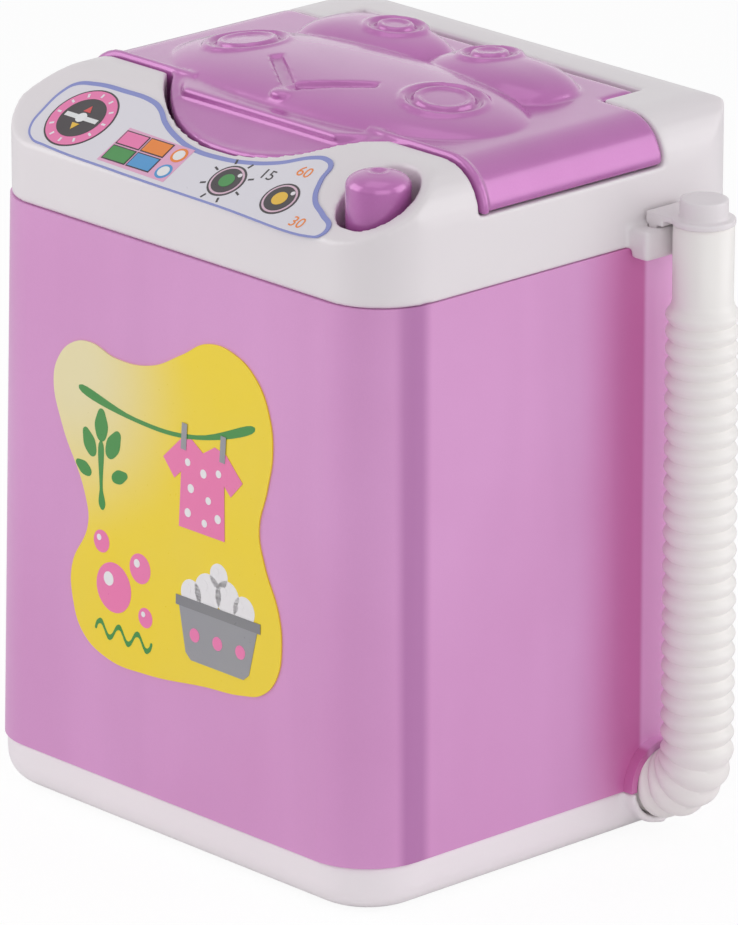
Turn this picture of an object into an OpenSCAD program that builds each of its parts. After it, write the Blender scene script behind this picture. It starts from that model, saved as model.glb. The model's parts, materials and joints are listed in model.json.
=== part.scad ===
// Toy washing machine: a push button runs a motor that turns the pulsator in the tub.
// Origin: middle of the base's underside. +X to the hose side, -Y to the front, +Z up.

/* [Case] */
// Width of the body across the front
body_w = 90; // [86:0.5:96]
// Depth of the body at its top edge
body_d_top = 79; // [77:0.5:82]
// How much the front and the back each lean out towards the bottom
body_lean = 2.65; // [1.5:0.05:3.2]
// Height of the lilac body
body_h = 88; // [87:0.5:92]
// Height of the white base
base_h = 8; // [7.6:0.1:9]
// Radius of the upright corners
corner_r = 11; // [10:0.5:12]
// Wall of the body and the base
wall = 1.6; // [1.4:0.1:1.8]
// Radius along the base's lower edge
base_edge_r = 5; // [3:0.5:5.5]
// Thickness of the base's floor
floor_t = 2.4; // [2.2:0.1:2.8]

/* [Top] */
// Height of the white top frame
frame_h = 19; // [18.5:0.5:20]
// Wall of the top frame
frame_wall = 1.8; // [1.6:0.1:2]
// Height of the frame's upright front band
band_h = 9.6; // [9:0.2:10]
// Tilt of the control panel
panel_tilt = 30; // [28:1:32]
// Radius of the shoulders along both sides
shoulder_r = 7.5; // [6:0.5:8]
// Height of the deck under the lid, above the body
deck_h = 11.3; // [11:0.1:11.6]
// Half length of the wash opening across the front
opening_half = 26; // [24:0.5:26]
// Half depth of the wash opening
opening_r = 17; // [15:0.5:17]

/* [Lid] */
// Where the lid's front edge lies, from the middle
lid_front = 18; // [17:0.5:18.5]
// Where the lid's side flanks end, behind the middle
lid_rear = 20; // [19:0.5:20.5]
// Half width of the hinge tongue
tongue_half = 31; // [29:0.5:32]
// Thickness of the lid
lid_t = 1.8; // [1.6:0.1:1.8]
// Distance of the hinge pin behind the middle
hinge_y = 26.2; // [26:0.1:26.4]
// Diameter of the hinge pins
hinge_pin_d = 1.8; // [1.6:0.1:2]
// Radius of the finger lip's rim
lip_r = 29; // [28:0.5:29.5]
// Height of the raised face on the lid
relief_h = 4; // [3:0.5:4]

/* [Wash tub] */
// Inner radius of the tub
tub_r = 27; // [26.8:0.1:27.2]
// Wall of the tub
tub_wall = 1.4; // [1.2:0.1:1.6]
// Height of the tub's floor above the ground
tub_floor = 57.8; // [57:0.2:60]
// Radius of the pulsator
pulsator_r = 20; // [17:0.5:20.5]
// Distance of the tub's middle behind the middle of the body
tub_y = 1; // [0.5:0.1:1.2]

/* [Drive] */
// Module of the gears
gear_module = 0.6; // [0.58:0.01:0.6]
// Teeth of the drive gear
drive_teeth = 48; // [44:1:48]
// Teeth of the motor pinion
pinion_teeth = 12; // [12:1:13]
// Height of the gear plate above the ground
plate_z = 46; // [46:0.2:47]
// Thickness of the gear plate
plate_t = 2; // [1.8:0.1:2.2]
// Diameter of the pulsator shaft
shaft_d = 3; // [2.5:0.1:3.2]
// Diameter of the motor shaft
motor_shaft_d = 2; // [1.8:0.1:2.2]
// Width of the motor can
motor_w = 20; // [19:0.5:20.5]
// Thickness of the motor can across its flats
motor_flat = 15.1; // [14.5:0.1:15.4]
// Length of the motor can
motor_len = 25; // [24:0.2:25.2]

/* [Power] */
// Diameter of a battery cell
cell_d = 14.5; // [14.3:0.1:14.5]
// Length of a battery cell with its nub
cell_len = 50.5; // [50:0.1:50.8]
// Distance between the two cells' axes
cell_pitch = 15.2; // [15:0.1:15.4]
// How far the battery door slides open
door_travel = 6; // [4:0.5:6]

/* [Button] */
// Distance of the button's middle from the body's right side
button_in = 9.8; // [9.6:0.1:10]
// Distance of the button's middle behind the body's front edge
button_back = 9.4; // [9.3:0.1:9.5]
// Diameter of the button
button_d = 10; // [9:0.2:10.6]
// Diameter of the hole round the button
button_hole_d = 12.6; // [12.2:0.1:12.8]
// Travel of the button
button_travel = 3; // [2:0.2:3]

/* [Hose] */
// Distance of the upright hose from the body's side
hose_off = 9; // [8.6:0.1:9.2]
// Place of the hose behind the middle
hose_y = 19.5; // [19:0.1:20]
// Diameter over the ribs
hose_rib_d = 11.4; // [11:0.1:11.6]
// Diameter between the ribs
hose_root_d = 9.8; // [9.6:0.1:10]
// Diameter of the bore
hose_bore_d = 7.2; // [6.8:0.1:7.4]
// Number of ribs
hose_ribs = 31; // [28:1:32]
// Radius of the bend at the bottom
hose_bend_r = 8; // [7.5:0.1:8.2]
// Length of the smooth cuff at the top
cuff_len = 13; // [12:0.5:13.5]
// How far the hose end lifts out of its clip
hose_lift = 5; // [4:0.5:6]

/* [Stickers] */
// Thickness of the stickers
sticker_t = 0.25; // [0.2:0.05:0.3]

/* [Hidden] */
$fn = 64;
eps = 0.01;

seat_gap = 0.2;              // loose seat between two shells
run_gap = 0.04;              // radial clearance of a shaft in its bore
body_top = base_h + body_h;
cap_top = body_top + frame_h;
deck_z = body_top + deck_h;
deck_t = frame_wall;
frame_w = body_w - 0.4;
frame_d = body_d_top - 0.4;
body_d_bottom = body_d_top + 2 * body_lean;
lean_angle = atan(body_lean / body_h);
half_w = body_w / 2;
cut = 1;                     // how far a cut runs past the face that it opens
below = 10;                  // how far a form's outline starts below its visible part

// Outline points of an arc
function arc(cx, cy, r, a0, a1, n = 8) =
    [for (i = [0:n]) let (a = a0 + (a1 - a0) * i / n) [cx + r * cos(a), cy + r * sin(a)]];

module rounded_rect(w, d, r) {
    square([w - 2 * r, d], center = true);
    square([w, d - 2 * r], center = true);
    for (x = [-1, 1], y = [-1, 1])
        translate([x * (w / 2 - r), y * (d / 2 - r)])
            circle(r);
}

// A column with rounded upright corners
module column(w, d, r, h) {
    linear_extrude(h)
        rounded_rect(w, d, r);
}

// Turns an outline in (Y, Z) into a bar of length len along X
module bar_x(len) {
    rotate([90, 0, 90])
        translate([0, 0, -len / 2])
            linear_extrude(len)
                children();
}

// Turns an outline in (X, Z) into a bar of length len along Y
module bar_y(len) {
    rotate([90, 0, 0])
        translate([0, 0, -len / 2])
            linear_extrude(len)
                children();
}

// ---- Body: upright sides, front and back lean out towards the bottom ----
module body_solid(in, z0, z1) {
    d0 = body_d_bottom - 2 * in;
    d1 = body_d_top - 2 * in;
    r = corner_r - in;
    run = r / cos(lean_angle);
    function half_at(z) = (d0 + (d1 - d0) * (z - base_h) / body_h) / 2;
    bar_x(body_w - 2 * corner_r)
        polygon([[-half_at(z0), z0], [half_at(z0), z0], [half_at(z1), z1], [-half_at(z1), z1]]);
    bar_x(body_w - 2 * in)
        polygon([[-half_at(z0) + run, z0], [half_at(z0) - run, z0],
            [half_at(z1) - run, z1], [-half_at(z1) + run, z1]]);
    intersection() {
        for (x = [-1, 1], y = [-1, 1])
            translate([x * (half_w - corner_r), y * (half_at(z0) - run), z0])
                rotate([y * lean_angle, 0, 0])
                    translate([0, 0, -cut])
                        cylinder(r = r, h = z1 - z0 + 2 * cut);
        translate([-body_w, -body_w, z0])
            cube([2 * body_w, 2 * body_w, z1 - z0]);
    }
}

// Screw posts in the four corners
post_in = 8.5;
post_x = half_w - post_in;
post_y = body_d_bottom / 2 - post_in - 0.05;
screw_r = 1.15;
post_r = 3;
post_top = base_h + 12;
rib_from = base_h + 3.5;
head_r = 2.3;
head_z = 1.2;
head_h = 1.8;

module at_posts() {
    for (x = [-1, 1], y = [-1, 1])
        translate([x * post_x, y * post_y, 0])
            mirror([x < 0 ? 1 : 0, 0, 0])
                children();
}

// The hose goes through the side at the joint of body and base
hose_x = half_w + hose_off;
inlet_z = base_h + 0.5;
inlet_hole_r = hose_rib_d / 2;
boss_r = inlet_hole_r + 1.2;
boss_out = 1.8;

module inlet_cylinder(r, from, to) {
    translate([from, hose_y, inlet_z])
        rotate([0, 90, 0])
            cylinder(r = r, h = to - from);
}

module body_shell() color([0.82, 0.56, 0.78]) difference() {
    union() {
        difference() {
            union() {
                body_solid(0, base_h, body_top);
                intersection() {
                    inlet_cylinder(boss_r, half_w - wall, half_w + boss_out);
                    translate([0, -body_w, base_h])
                        cube([body_w, 2 * body_w, body_h]);
                }
            }
            body_solid(wall, base_h - cut, body_top + cut);
        }
        at_posts() {
            translate([0, 0, base_h])
                cylinder(r = post_r, h = post_top - base_h);
            translate([0, -wall / 2, rib_from])
                cube([half_w - wall / 2 - post_x, wall, post_top - rib_from]);
        }
    }
    at_posts()
        translate([0, 0, base_h - cut])
            cylinder(r = screw_r + run_gap, h = post_top - base_h - cut);
    inlet_cylinder(inlet_hole_r, half_w - 4 * wall, half_w + 2 * boss_out);
}

// ---- Base: tray with the battery bay ----
base_in = 0.3;
base_w = body_w - 2 * base_in;
base_d = body_d_bottom - 2 * base_in;
spring_len = 6.7;
contact_t = 0.4;
bay_half = (cell_len + spring_len + 2 * contact_t) / 2;
bay_y0 = -post_y - post_r;
bay_y1 = bay_y0 + cell_pitch + cell_d + 1.3;
bay_mid = (bay_y0 + bay_y1) / 2;
cell_z = floor_t + seat_gap + cell_d / 2;
bay_roof = cell_z + cell_d / 2 + 2 * seat_gap;
bay_top = bay_roof + 1.4;
tab_w = 4;
tab_top = bay_top + 2.1;
lip_h = 3;
lip_root = 3;

// A block whose lower edge is rounded all round
module soft_block(w, d, h, r, e) {
    module half_side(x) {
        polygon(concat([[0, h], [x, h]], arc(x - e, e, e, 0, -90), [[0, 0]]));
    }
    for (s = [0, 1]) {
        mirror([0, s, 0])
            bar_x(w - 2 * r)
                half_side(d / 2);
        mirror([s, 0, 0])
            bar_y(d - 2 * r)
                half_side(w / 2);
    }
    for (x = [-1, 1], y = [-1, 1])
        translate([x * (w / 2 - r), y * (d / 2 - r), 0])
            rotate_extrude()
                half_side(r);
}

door_gap = 0.25;
door_rest = 1.5;
door_w = 2 * (bay_half - door_rest);
door_d = bay_y1 - bay_y0 - 2 * door_rest;
door_z0 = 0.3;
door_t = 1.2;
wing = 1.2;
wing_t = 0.6;
wing_z = 0.9;
ridges = 4;
ridge_w = 1;
ridge_len = 12;
ridge_pitch = 2.5;
ridge_deep = 0.4;

// Space of the battery door, from the left edge of the opening to `right`
module door_space(gap, right) {
    x0 = -door_w / 2 - gap;
    translate([x0, bay_mid - door_d / 2 - gap, door_z0 - cut])
        cube([right - x0, door_d + 2 * gap, door_t + cut + gap + eps]);
}

module door_wings(gap, right) {
    x0 = -door_w / 2 - gap;
    translate([x0, bay_mid - door_d / 2 - wing - gap, wing_z - gap])
        cube([right - x0, door_d + 2 * wing + 2 * gap, wing_t + 2 * gap]);
}

module base_tray() color([0.93, 0.92, 0.91]) difference() {
    union() {
        difference() {
            union() {
                soft_block(base_w, base_d, base_h, corner_r, base_edge_r);
                intersection() {
                    inlet_cylinder(boss_r, half_w - 2 * wall, half_w + boss_out);
                    translate([0, -body_w, 0])
                        cube([body_w, 2 * body_w, base_h]);
                }
            }
            translate([0, 0, floor_t])
                soft_block(base_w - 2 * wall, base_d - 2 * wall, base_h, corner_r - wall, base_edge_r - wall);
        }
        // Lip that locates the body
        translate([0, 0, base_h - lip_root])
            difference() {
                column(body_w - 2 * wall - 2 * seat_gap, body_d_bottom - 2 * wall - 3 * seat_gap,
                    corner_r - wall - seat_gap, lip_root + lip_h);
                translate([0, 0, -cut])
                    column(body_w - 5 * wall, body_d_bottom - 5 * wall, corner_r - 2.5 * wall,
                        lip_root + lip_h + 2 * cut);
            }
        at_posts()
            translate([0, 0, eps])
                cylinder(r = post_r + seat_gap, h = base_h - eps);
        translate([-bay_half - wall, bay_y0 - wall, floor_t - cut])
            cube([2 * bay_half + 2 * wall, bay_y1 - bay_y0 + 2 * wall, bay_top - floor_t + cut]);
    }
    // Battery bay, with slots for the tabs of the two terminals
    translate([-bay_half, bay_y0, floor_t])
        cube([2 * bay_half, bay_y1 - bay_y0, bay_roof - floor_t]);
    for (y = cell_rows)
        translate([bay_half - 3 * contact_t, y - tab_w / 2 - seat_gap, bay_roof - cut])
            cube([3 * contact_t, tab_w + 2 * seat_gap, bay_top]);
    // Door opening through the floor, and its recess and grooves, longer by the travel
    translate([-door_w / 2 - door_gap, bay_mid - door_d / 2 - door_gap, -cut])
        cube([door_w + 2 * door_gap, door_d + 2 * door_gap, floor_t + 2 * cut]);
    door_space(door_gap, door_w / 2 + door_travel + door_gap);
    door_wings(door_gap, door_w / 2 + door_travel + door_gap);
    at_posts() {
        translate([0, 0, -cut])
            cylinder(r = head_r + 0.3, h = head_z + head_h + cut);
        cylinder(r = screw_r + run_gap, h = base_h + cut);
    }
    inlet_cylinder(inlet_hole_r, half_w - 4 * wall, half_w + 2 * boss_out);
}

module battery_door() color([0.93, 0.92, 0.91]) difference() {
    union() {
        translate([-door_w / 2, bay_mid - door_d / 2, door_z0])
            cube([door_w, door_d, door_t]);
        door_wings(0, door_w / 2);
    }
    // Finger ridges
    for (i = [0:ridges - 1])
        translate([door_w / 2 - ridge_len / 2 - ridge_pitch * i, bay_mid - ridge_len / 2, door_z0 - eps])
            cube([ridge_w, ridge_len, ridge_deep]);
}

module case_screws() color([0.6, 0.6, 0.62]) at_posts() {
    difference() {
        translate([0, 0, head_z])
            cylinder(r = head_r, h = head_h);
        for (a = [0, 90])
            translate([0, 0, head_z])
                rotate([0, 0, a])
                    cube([1.3 * head_r, 0.26 * head_r, 0.5 * head_r], center = true);
    }
    translate([0, 0, head_z + head_h - eps])
        cylinder(r = screw_r, h = post_top - head_z - head_h - 4);
}

// ---- Batteries and their contacts ----
cell_rows = [bay_mid - cell_pitch / 2, bay_mid + cell_pitch / 2];
nub_len = 1.2;
nub_r = 2.75;
pad = 8;
cell_coil_r = 3.2;
cell_coil_wire = 0.35;
cell_coil_turns = 4;

// A cell whose nub touches the contact at its side of the bay
module cell(side, y) {
    translate([side * (bay_half - contact_t), y, cell_z])
        rotate([0, -side * 90, 0]) {
            cylinder(r = nub_r, h = nub_len + eps);
            translate([0, 0, nub_len])
                cylinder(d = cell_d, h = cell_len - nub_len);
        }
}

module battery_cell_front() color([0.2, 0.35, 0.6]) cell(1, cell_rows[0]);
module battery_cell_rear() color([0.2, 0.35, 0.6]) cell(-1, cell_rows[1]);

module contact_bridge() color([0.75, 0.76, 0.78])
    translate([-bay_half, cell_rows[0] - pad / 2, cell_z - pad / 2])
        cube([contact_t, cell_pitch + pad, pad]);

module contact_terminals() color([0.75, 0.76, 0.78]) for (y = cell_rows)
    translate([bay_half - contact_t, y, 0]) {
        translate([0, -pad / 2, cell_z - pad / 2])
            cube([contact_t, pad, pad]);
        translate([0, -tab_w / 2, cell_z])
            cube([contact_t, tab_w, tab_top - cell_z]);
    }

// One unbroken wire wound round +Z, its ends cut square
module coil(r, wire_r, len, turns) {
    steps = 8 * turns;
    pitch = (len - 2 * wire_r) / turns;
    ring = [for (i = [0:steps], k = [0:5])
        let (a = 45 * i, b = 60 * k, q = r + wire_r * cos(b))
        [q * cos(a), q * sin(a), wire_r + pitch * turns * i / steps + wire_r * sin(b)]];
    sides = [for (i = [0:steps - 1], k = [0:5])
        let (a = 6 * i + k, b = 6 * i + (k + 1) % 6)
        each [[a, a + 6, b], [b, a + 6, b + 6]]];
    start = [for (k = [1:4]) [0, k, k + 1]];
    end = [for (k = [1:4]) [6 * steps, 6 * steps + k + 1, 6 * steps + k]];
    echo(coil_gap = pitch - 2 * wire_r);
    polyhedron(ring, concat(sides, start, end));
}

module battery_springs() color([0.75, 0.76, 0.78]) for (i = [0, 1])
    let (side = i == 0 ? -1 : 1)
    translate([side * (bay_half - contact_t), cell_rows[i], cell_z])
        rotate([0, -side * 90, 0])
            coil(cell_coil_r, cell_coil_wire, spring_len, cell_coil_turns);

// ---- Top frame and lid share one outer form ----
slope_y0 = -frame_d / 2;
slope_z0 = body_top + band_h;
crest_r = 10;
rear_r = 6;

// Outline from front to back, moved in by `in`
function side_outline(in) =
    let (t = panel_tilt, top = cap_top - in, y0 = slope_y0 + in,
        z_foot = slope_z0 - in / cos(t) + in * tan(t),
        crest_y = y0 + (top - z_foot) / tan(t),
        cr = crest_r - in,
        rr = rear_r - in,
        y1 = frame_d / 2 - in)
    concat([[y0, body_top - below], [y0, z_foot]],
        arc(crest_y + cr * tan(t / 2), top - cr, cr, 90 + t, 90, 4),
        arc(y1 - rr, top - rr, rr, 90, 0, 6),
        [[y1, body_top - below]]);

// Outline from left to right, moved in by `in`
function shoulder_outline(in) =
    let (x = frame_w / 2 - in, top = cap_top - in, r = shoulder_r - in)
    concat([[-x, body_top - below], [x, body_top - below]],
        arc(x - r, top - r, r, 0, 90, 6), arc(-x + r, top - r, r, 90, 180, 6));

module cap_form(in, z0) intersection() {
    translate([0, 0, z0])
        column(frame_w - 2 * in, frame_d - 2 * in, corner_r - in, cap_top - z0 + 1);
    bar_x(body_w)
        polygon(side_outline(in));
    bar_y(body_w)
        polygon(shoulder_outline(in));
}

lid_gap = 0.3;
lip_gap = 0.9;
lip_out = 10;
rail_y = hinge_y + lid_t + 0.6;
pin_reach = 2.2;
hinge_z = cap_top - lid_t;

// Space of the lid above height z0, grown by g
module lid_space(g, z0) {
    h = cap_top + 10 - z0;
    translate([-body_w, -lid_front - g, z0])
        cube([2 * body_w, lid_front + lid_rear + 2 * g, h]);
    translate([-tongue_half - g, 0, z0])
        cube([2 * tongue_half + 2 * g, rail_y - lid_gap + g, h]);
    intersection() {
        translate([0, lip_r - lid_front - lip_out, z0])
            cylinder(r = lip_r + lip_gap + g, h = h);
        translate([-body_w, -body_w, z0])
            cube([2 * body_w, body_w, h]);
    }
}

button_x = half_w - button_in;
button_y = body_d_top / 2 - button_back;
button_at = [button_x, -button_y];
flange_r = button_hole_d / 2 + 0.7;
well_r = flange_r + 0.1;
well_wall = 1.2;
well_top = slope_z0 - 0.8;
well_bottom = body_top + 0.2;
block_t = 1.8;
skirt_drop = 5;
skirt_t = 1.4;
clip_half = 7;
clip_off = 0.25;             // the clip's drop stands clear of the body's side
clip_x1 = half_w + 3.9;
clip_z0 = body_top - 1.5;
clip_z1 = body_top + 3.4;
clip_floor = 1.2;
tongue_t = 1.6;
tongue_half_w = 4;
tongue_x = half_w + 1.15;
clip_gap = 0.15;

module frame_skirt() {
    w = body_w - 2 * wall - 2 * seat_gap;
    d = body_d_top - 2 * wall - 2 * seat_gap;
    r = corner_r - wall - seat_gap;
    translate([0, 0, body_top - skirt_drop])
        difference() {
            column(w, d, r, skirt_drop + skirt_t);
            translate([0, 0, -cut])
                column(w - 2 * skirt_t, d - 2 * skirt_t, r - skirt_t, skirt_drop + skirt_t + 2 * cut);
        }
}

module wash_opening(z0, z1) translate([0, tub_y, z0]) {
    half = opening_half - opening_r;
    for (x = [-1, 1])
        translate([x * half, 0, 0])
            cylinder(r = opening_r, h = z1 - z0);
    translate([-half, -opening_r, 0])
        cube([2 * half, 2 * opening_r, z1 - z0]);
}

module top_frame() color([0.94, 0.93, 0.93]) difference() {
    union() {
        difference() {
            cap_form(0, body_top);
            lid_space(lid_gap, deck_z);
            difference() {
                cap_form(frame_wall, body_top - 1);
                lid_space(lid_gap + frame_wall, deck_z - deck_t);
            }
        }
        frame_skirt();
        // Well of the button
        intersection() {
            translate([button_at[0], button_at[1], well_bottom])
                cylinder(r = well_r + well_wall, h = frame_h);
            cap_form(eps, body_top);
        }
        // Clip block for the hose end
        translate([frame_w / 2 - frame_wall, hose_y - clip_half, body_top])
            cube([clip_x1 - frame_w / 2 + frame_wall, 2 * clip_half, clip_z1 - body_top]);
        translate([half_w + clip_off, hose_y - clip_half, clip_z0])
            cube([clip_x1 - half_w - clip_off, 2 * clip_half, clip_z1 - clip_z0]);
    }
    wash_opening(deck_z - 2 * deck_t, deck_z + cut);
    translate([button_at[0], button_at[1], body_top - cut]) {
        cylinder(r = well_r, h = well_top - body_top + cut);
        cylinder(d = button_hole_d, h = 2 * frame_h);
    }
    // Pocket of the clip
    translate([tongue_x - clip_gap, hose_y - tongue_half_w - clip_gap, clip_z0 + clip_floor])
        cube([tongue_t + 2 * clip_gap, 2 * tongue_half_w + 2 * clip_gap, frame_h]);
    // Sockets of the hinge pins
    for (s = [-1, 1])
        translate([s * (tongue_half + frame_wall / 2), hinge_y, hinge_z])
            rotate([0, 90, 0])
                cylinder(d = hinge_pin_d + 2 * run_gap, h = 3 * frame_wall, center = true);
    at_tub_screws()
        translate([0, 0, deck_z - deck_t - cut])
            cylinder(r = tub_screw_r + run_gap, h = deck_t + cut - 0.3);
}

// ---- Lid: a saddle shell with a raised animal face ----
face_y = -5;
face_half = 18.5;
face_r = 17.5;
ear_x = 12.5;
ear_y = 11;
ear_r = 12;
eye_x = 22.5;
eye_ring = [5.6, 0.8];       // radius of a ring's middle line, radius of its round section
eye_disc_r = 3.6;
ear_ring = [4, 0.6];
ear_disc_r = 2.4;
nose_r = 2;
nose_back = 9;               // from the face's middle to the nose, towards the front
fold_len = 9;
fold_w = 1.8;
fold_turn = 38;
relief_room = 20;            // height of the plain forms that the relief is cut from
lip_fall = 5.4;              // from the lid's top down to the tip of the finger lip
lip_room = 12;

// Radius of the ball whose cap has radius r and height h
function ball_r(r, h) = (r * r + h * h) / (2 * h);

module ball_cap(r, h) {
    b = ball_r(r, h);
    translate([0, 0, cap_top + h - b])
        sphere(b, $fn = 180);
}

face_top = cap_top + relief_h;
arch_r = ball_r(face_r, relief_h - 0.6);
long_r = ball_r(face_half + face_r, relief_h - 0.6);

// Height of the face at a place on it
function face_z(x, y) = face_top - arch_r + sqrt(arch_r * arch_r - pow(y - face_y, 2))
    - long_r + sqrt(long_r * long_r - x * x);

// Everything behind the lid's front edge, and the round lip before it. Its edges are thinner than its top.
module lid_plan(in, z0) {
    edge = 0.8 * in;
    translate([-body_w, -lid_front + edge, z0])
        cube([2 * body_w, lid_front + lid_rear - 2 * edge, 2 * frame_h]);
    intersection() {
        translate([0, lip_r - lid_front - lip_out, z0])
            cylinder(r = lip_r - 0.9 * in, h = 2 * frame_h);
        translate([-body_w, -body_w, z0])
            cube([2 * body_w, body_w, 2 * frame_h]);
    }
}

// Wide face: arched from front to back and, less, from side to side
module face_dome() intersection() {
    translate([0, face_y, cap_top - lid_t / 2])
        column(2 * (face_half + face_r), 2 * face_r, face_r - 0.2, relief_room);
    translate([0, face_y, face_top - arch_r])
        rotate([0, 90, 0])
            cylinder(r = arch_r, h = 2 * body_w, center = true, $fn = 240);
    translate([0, face_y, face_top - long_r])
        rotate([90, 0, 0])
            cylinder(r = long_r, h = 2 * body_w, center = true, $fn = 256);
    lid_plan(0, deck_z);
}

module relief() {
    face_dome();
    for (s = [-1, 1]) {
        intersection() {
            translate([s * ear_x, ear_y, 0])
                ball_cap(ear_r, relief_h);
            translate([-half_w, -half_w, cap_top - lid_t / 2])
                cube([body_w, body_w, relief_room]);
        }
        translate([s * eye_x, face_y, face_z(eye_x, face_y)])
            ring_and_disc(eye_ring, eye_disc_r);
        translate([s * 0.9 * ear_x, ear_y + 1, face_top])
            ring_and_disc(ear_ring, ear_disc_r);
    }
    // Muzzle: a nub with two folds running up from it
    translate([0, face_y - nose_back, face_z(0, face_y - nose_back) - cut])
        cylinder(r = nose_r, h = cut + 0.6);
    for (s = [-1, 1])
        translate([0, face_y - nose_back + 0.5, face_z(0, face_y - nose_back + cut) - cut])
            rotate([0, 0, 90 - s * (90 - fold_turn)])
                translate([nose_r / 2, -fold_w / 2, 0])
                    cube([fold_len, fold_w, cut + 0.7]);
}

// A ring half sunk in the face, round a low disc
module ring_and_disc(ring_size, disc_r) {
    translate([0, 0, -ring_size[1] / 2])
        rotate_extrude()
            translate([ring_size[0], 0])
                circle(ring_size[1], $fn = 24);
    translate([0, 0, -1.2])
        cylinder(r = disc_r, h = 1.2 + ring_size[1] / 3);
}

// Slope of the finger lip, in front of the lid's edge
module lip_form(in) {
    bar_x(2 * body_w)
        polygon([[0, deck_z - below], [-lid_front - lip_room, deck_z - below],
            [-lid_front - lip_room, cap_top - lip_fall - in], [-lid_front + 0.5, cap_top - in],
            [0, cap_top - in]]);
}

module lid_body(in) intersection() {
    cap_form(in, deck_z + lid_gap - (in > 0 ? cut : 0));
    lid_plan(in, deck_z - 2 * cut);
    union() {
        lip_form(in);
        translate([-body_w, -lid_front, deck_z - below])
            cube([2 * body_w, 2 * body_w, 2 * frame_h]);
    }
}

module lid() color([0.74, 0.46, 0.72]) {
    difference() {
        lid_body(0);
        lid_body(lid_t);
    }
    // Tongue that ends in the hinge barrel
    translate([-tongue_half, lid_rear - 2, hinge_z])
        cube([2 * tongue_half, hinge_y - lid_rear + 2, lid_t]);
    translate([-tongue_half, hinge_y, hinge_z])
        rotate([0, 90, 0])
            cylinder(r = lid_t, h = 2 * tongue_half);
    relief();
    for (s = [-1, 1])
        translate([s * (tongue_half + 1), hinge_y, hinge_z])
            rotate([0, 90, 0])
                cylinder(d = hinge_pin_d, h = 2 * pin_reach, center = true);
}

// ---- Tub and pulsator ----
tub_top = deck_z - deck_t;
floor_thick = 1.8;
hub_r = 4;
gear_space = 4.6;
hub_bottom = plate_z + plate_t + gear_space;
post_ring_r = 20.5;
support_r = 2.8;
seal_r = 3.5;
seal_h = 1.2;
tub_flange_t = 1.5;
tub_screw_r = 1;
tub_head_r = 1.6;
tub_head_h = 1;
tub_screw_ring = tub_r + tub_wall + tub_head_r + seat_gap;
tub_flange_r = tub_screw_ring + tub_head_r;
drain_x = 16;
drain_r = 2.3;
pipe_r = 3.5;

module at_supports() {
    for (a = [90, 210, 330])
        translate([post_ring_r * cos(a), tub_y + post_ring_r * sin(a), 0])
            children();
}

module at_tub_screws() {
    for (a = [-120, -60, 60, 120])
        translate([tub_screw_ring * cos(a), tub_y + tub_screw_ring * sin(a), 0])
            children();
}

module wash_tub() color([0.9, 0.9, 0.92]) difference() {
    union() {
        translate([0, tub_y, tub_floor - floor_thick])
            cylinder(r = tub_r + tub_wall, h = tub_top - tub_floor + floor_thick);
        translate([0, tub_y, tub_top - tub_flange_t])
            cylinder(r = tub_flange_r, h = tub_flange_t);
        translate([0, tub_y, hub_bottom])
            cylinder(r = hub_r, h = tub_floor - floor_thick - hub_bottom + eps);
        at_supports()
            translate([0, 0, plate_z + plate_t])
                cylinder(r = support_r, h = tub_floor - floor_thick - plate_z - plate_t + eps);
    }
    translate([0, tub_y, tub_floor])
        cylinder(r = tub_r, h = 2 * body_h);
    translate([0, tub_y, hub_bottom - cut])
        cylinder(r = shaft_d / 2 + run_gap, h = body_h);
    translate([0, tub_y, tub_floor - seal_h])
        cylinder(r = seal_r, h = seal_h + cut);
    translate([drain_x, hose_y, plate_z])
        cylinder(r = drain_r, h = body_h / 2);
    at_supports()
        translate([0, 0, plate_z])
            cylinder(r = screw_r + run_gap, h = plate_t + plate_screw_in + cut);
    at_tub_screws()
        translate([0, 0, tub_top - 2 * tub_flange_t])
            cylinder(r = tub_screw_r + run_gap, h = 3 * tub_flange_t);
}

module tub_screws() color([0.6, 0.6, 0.62]) at_tub_screws() {
    translate([0, 0, tub_top - tub_flange_t - tub_head_h])
        cylinder(r = tub_head_r, h = tub_head_h);
    translate([0, 0, tub_top - tub_flange_t - eps])
        cylinder(r = tub_screw_r, h = tub_flange_t + deck_t - 0.5);
}

module shaft_seal() color([0.15, 0.15, 0.15])
    translate([0, tub_y, tub_floor - seal_h])
        difference() {
            cylinder(r = seal_r, h = seal_h);
            translate([0, 0, -cut])
                cylinder(r = shaft_d / 2 + run_gap, h = seal_h + 2 * cut);
        }

pulsator_z = tub_floor + 1;
disc_h = 2.2;
vane_h = 4.5;
vane_t = 2.4;
cone_r = [6, 4];
vane_z = disc_h + vane_h - 1.5;
shaft_top = pulsator_z + vane_z;

module pulsator() color([0.95, 0.95, 0.96]) translate([0, tub_y, pulsator_z]) difference() {
    union() {
        cylinder(r = pulsator_r, h = disc_h);
        cylinder(r1 = cone_r[0], r2 = cone_r[1], h = disc_h + vane_h);
        for (a = [0, 90, 180, 270])
            rotate([0, 0, a])
                translate([0, -vane_t / 2, 0])
                    cube([0.9 * pulsator_r, vane_t, vane_z]);
    }
    translate([0, 0, -cut])
        cylinder(d = shaft_d, h = vane_z + cut);
    // Drain holes
    for (i = [0:7])
        rotate([0, 0, 22.5 + 45 * i])
            translate([pulsator_r * 0.7, 0, -cut])
                cylinder(d = vane_t, h = disc_h + 2 * cut);
}

// ---- Gear train ----
gear_h = 3;
gear_hub_r = 3.2;
gear_z = plate_z + plate_t + 0.8;
pressure = 25;
backlash = 0.12;
axis_gap = 0.1;
drive_pitch_r = gear_module * drive_teeth / 2;
pinion_pitch_r = gear_module * pinion_teeth / 2;
motor_y = tub_y - drive_pitch_r - pinion_pitch_r - axis_gap;

function inv(a) = tan(a) * 180 / PI - a;

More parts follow.
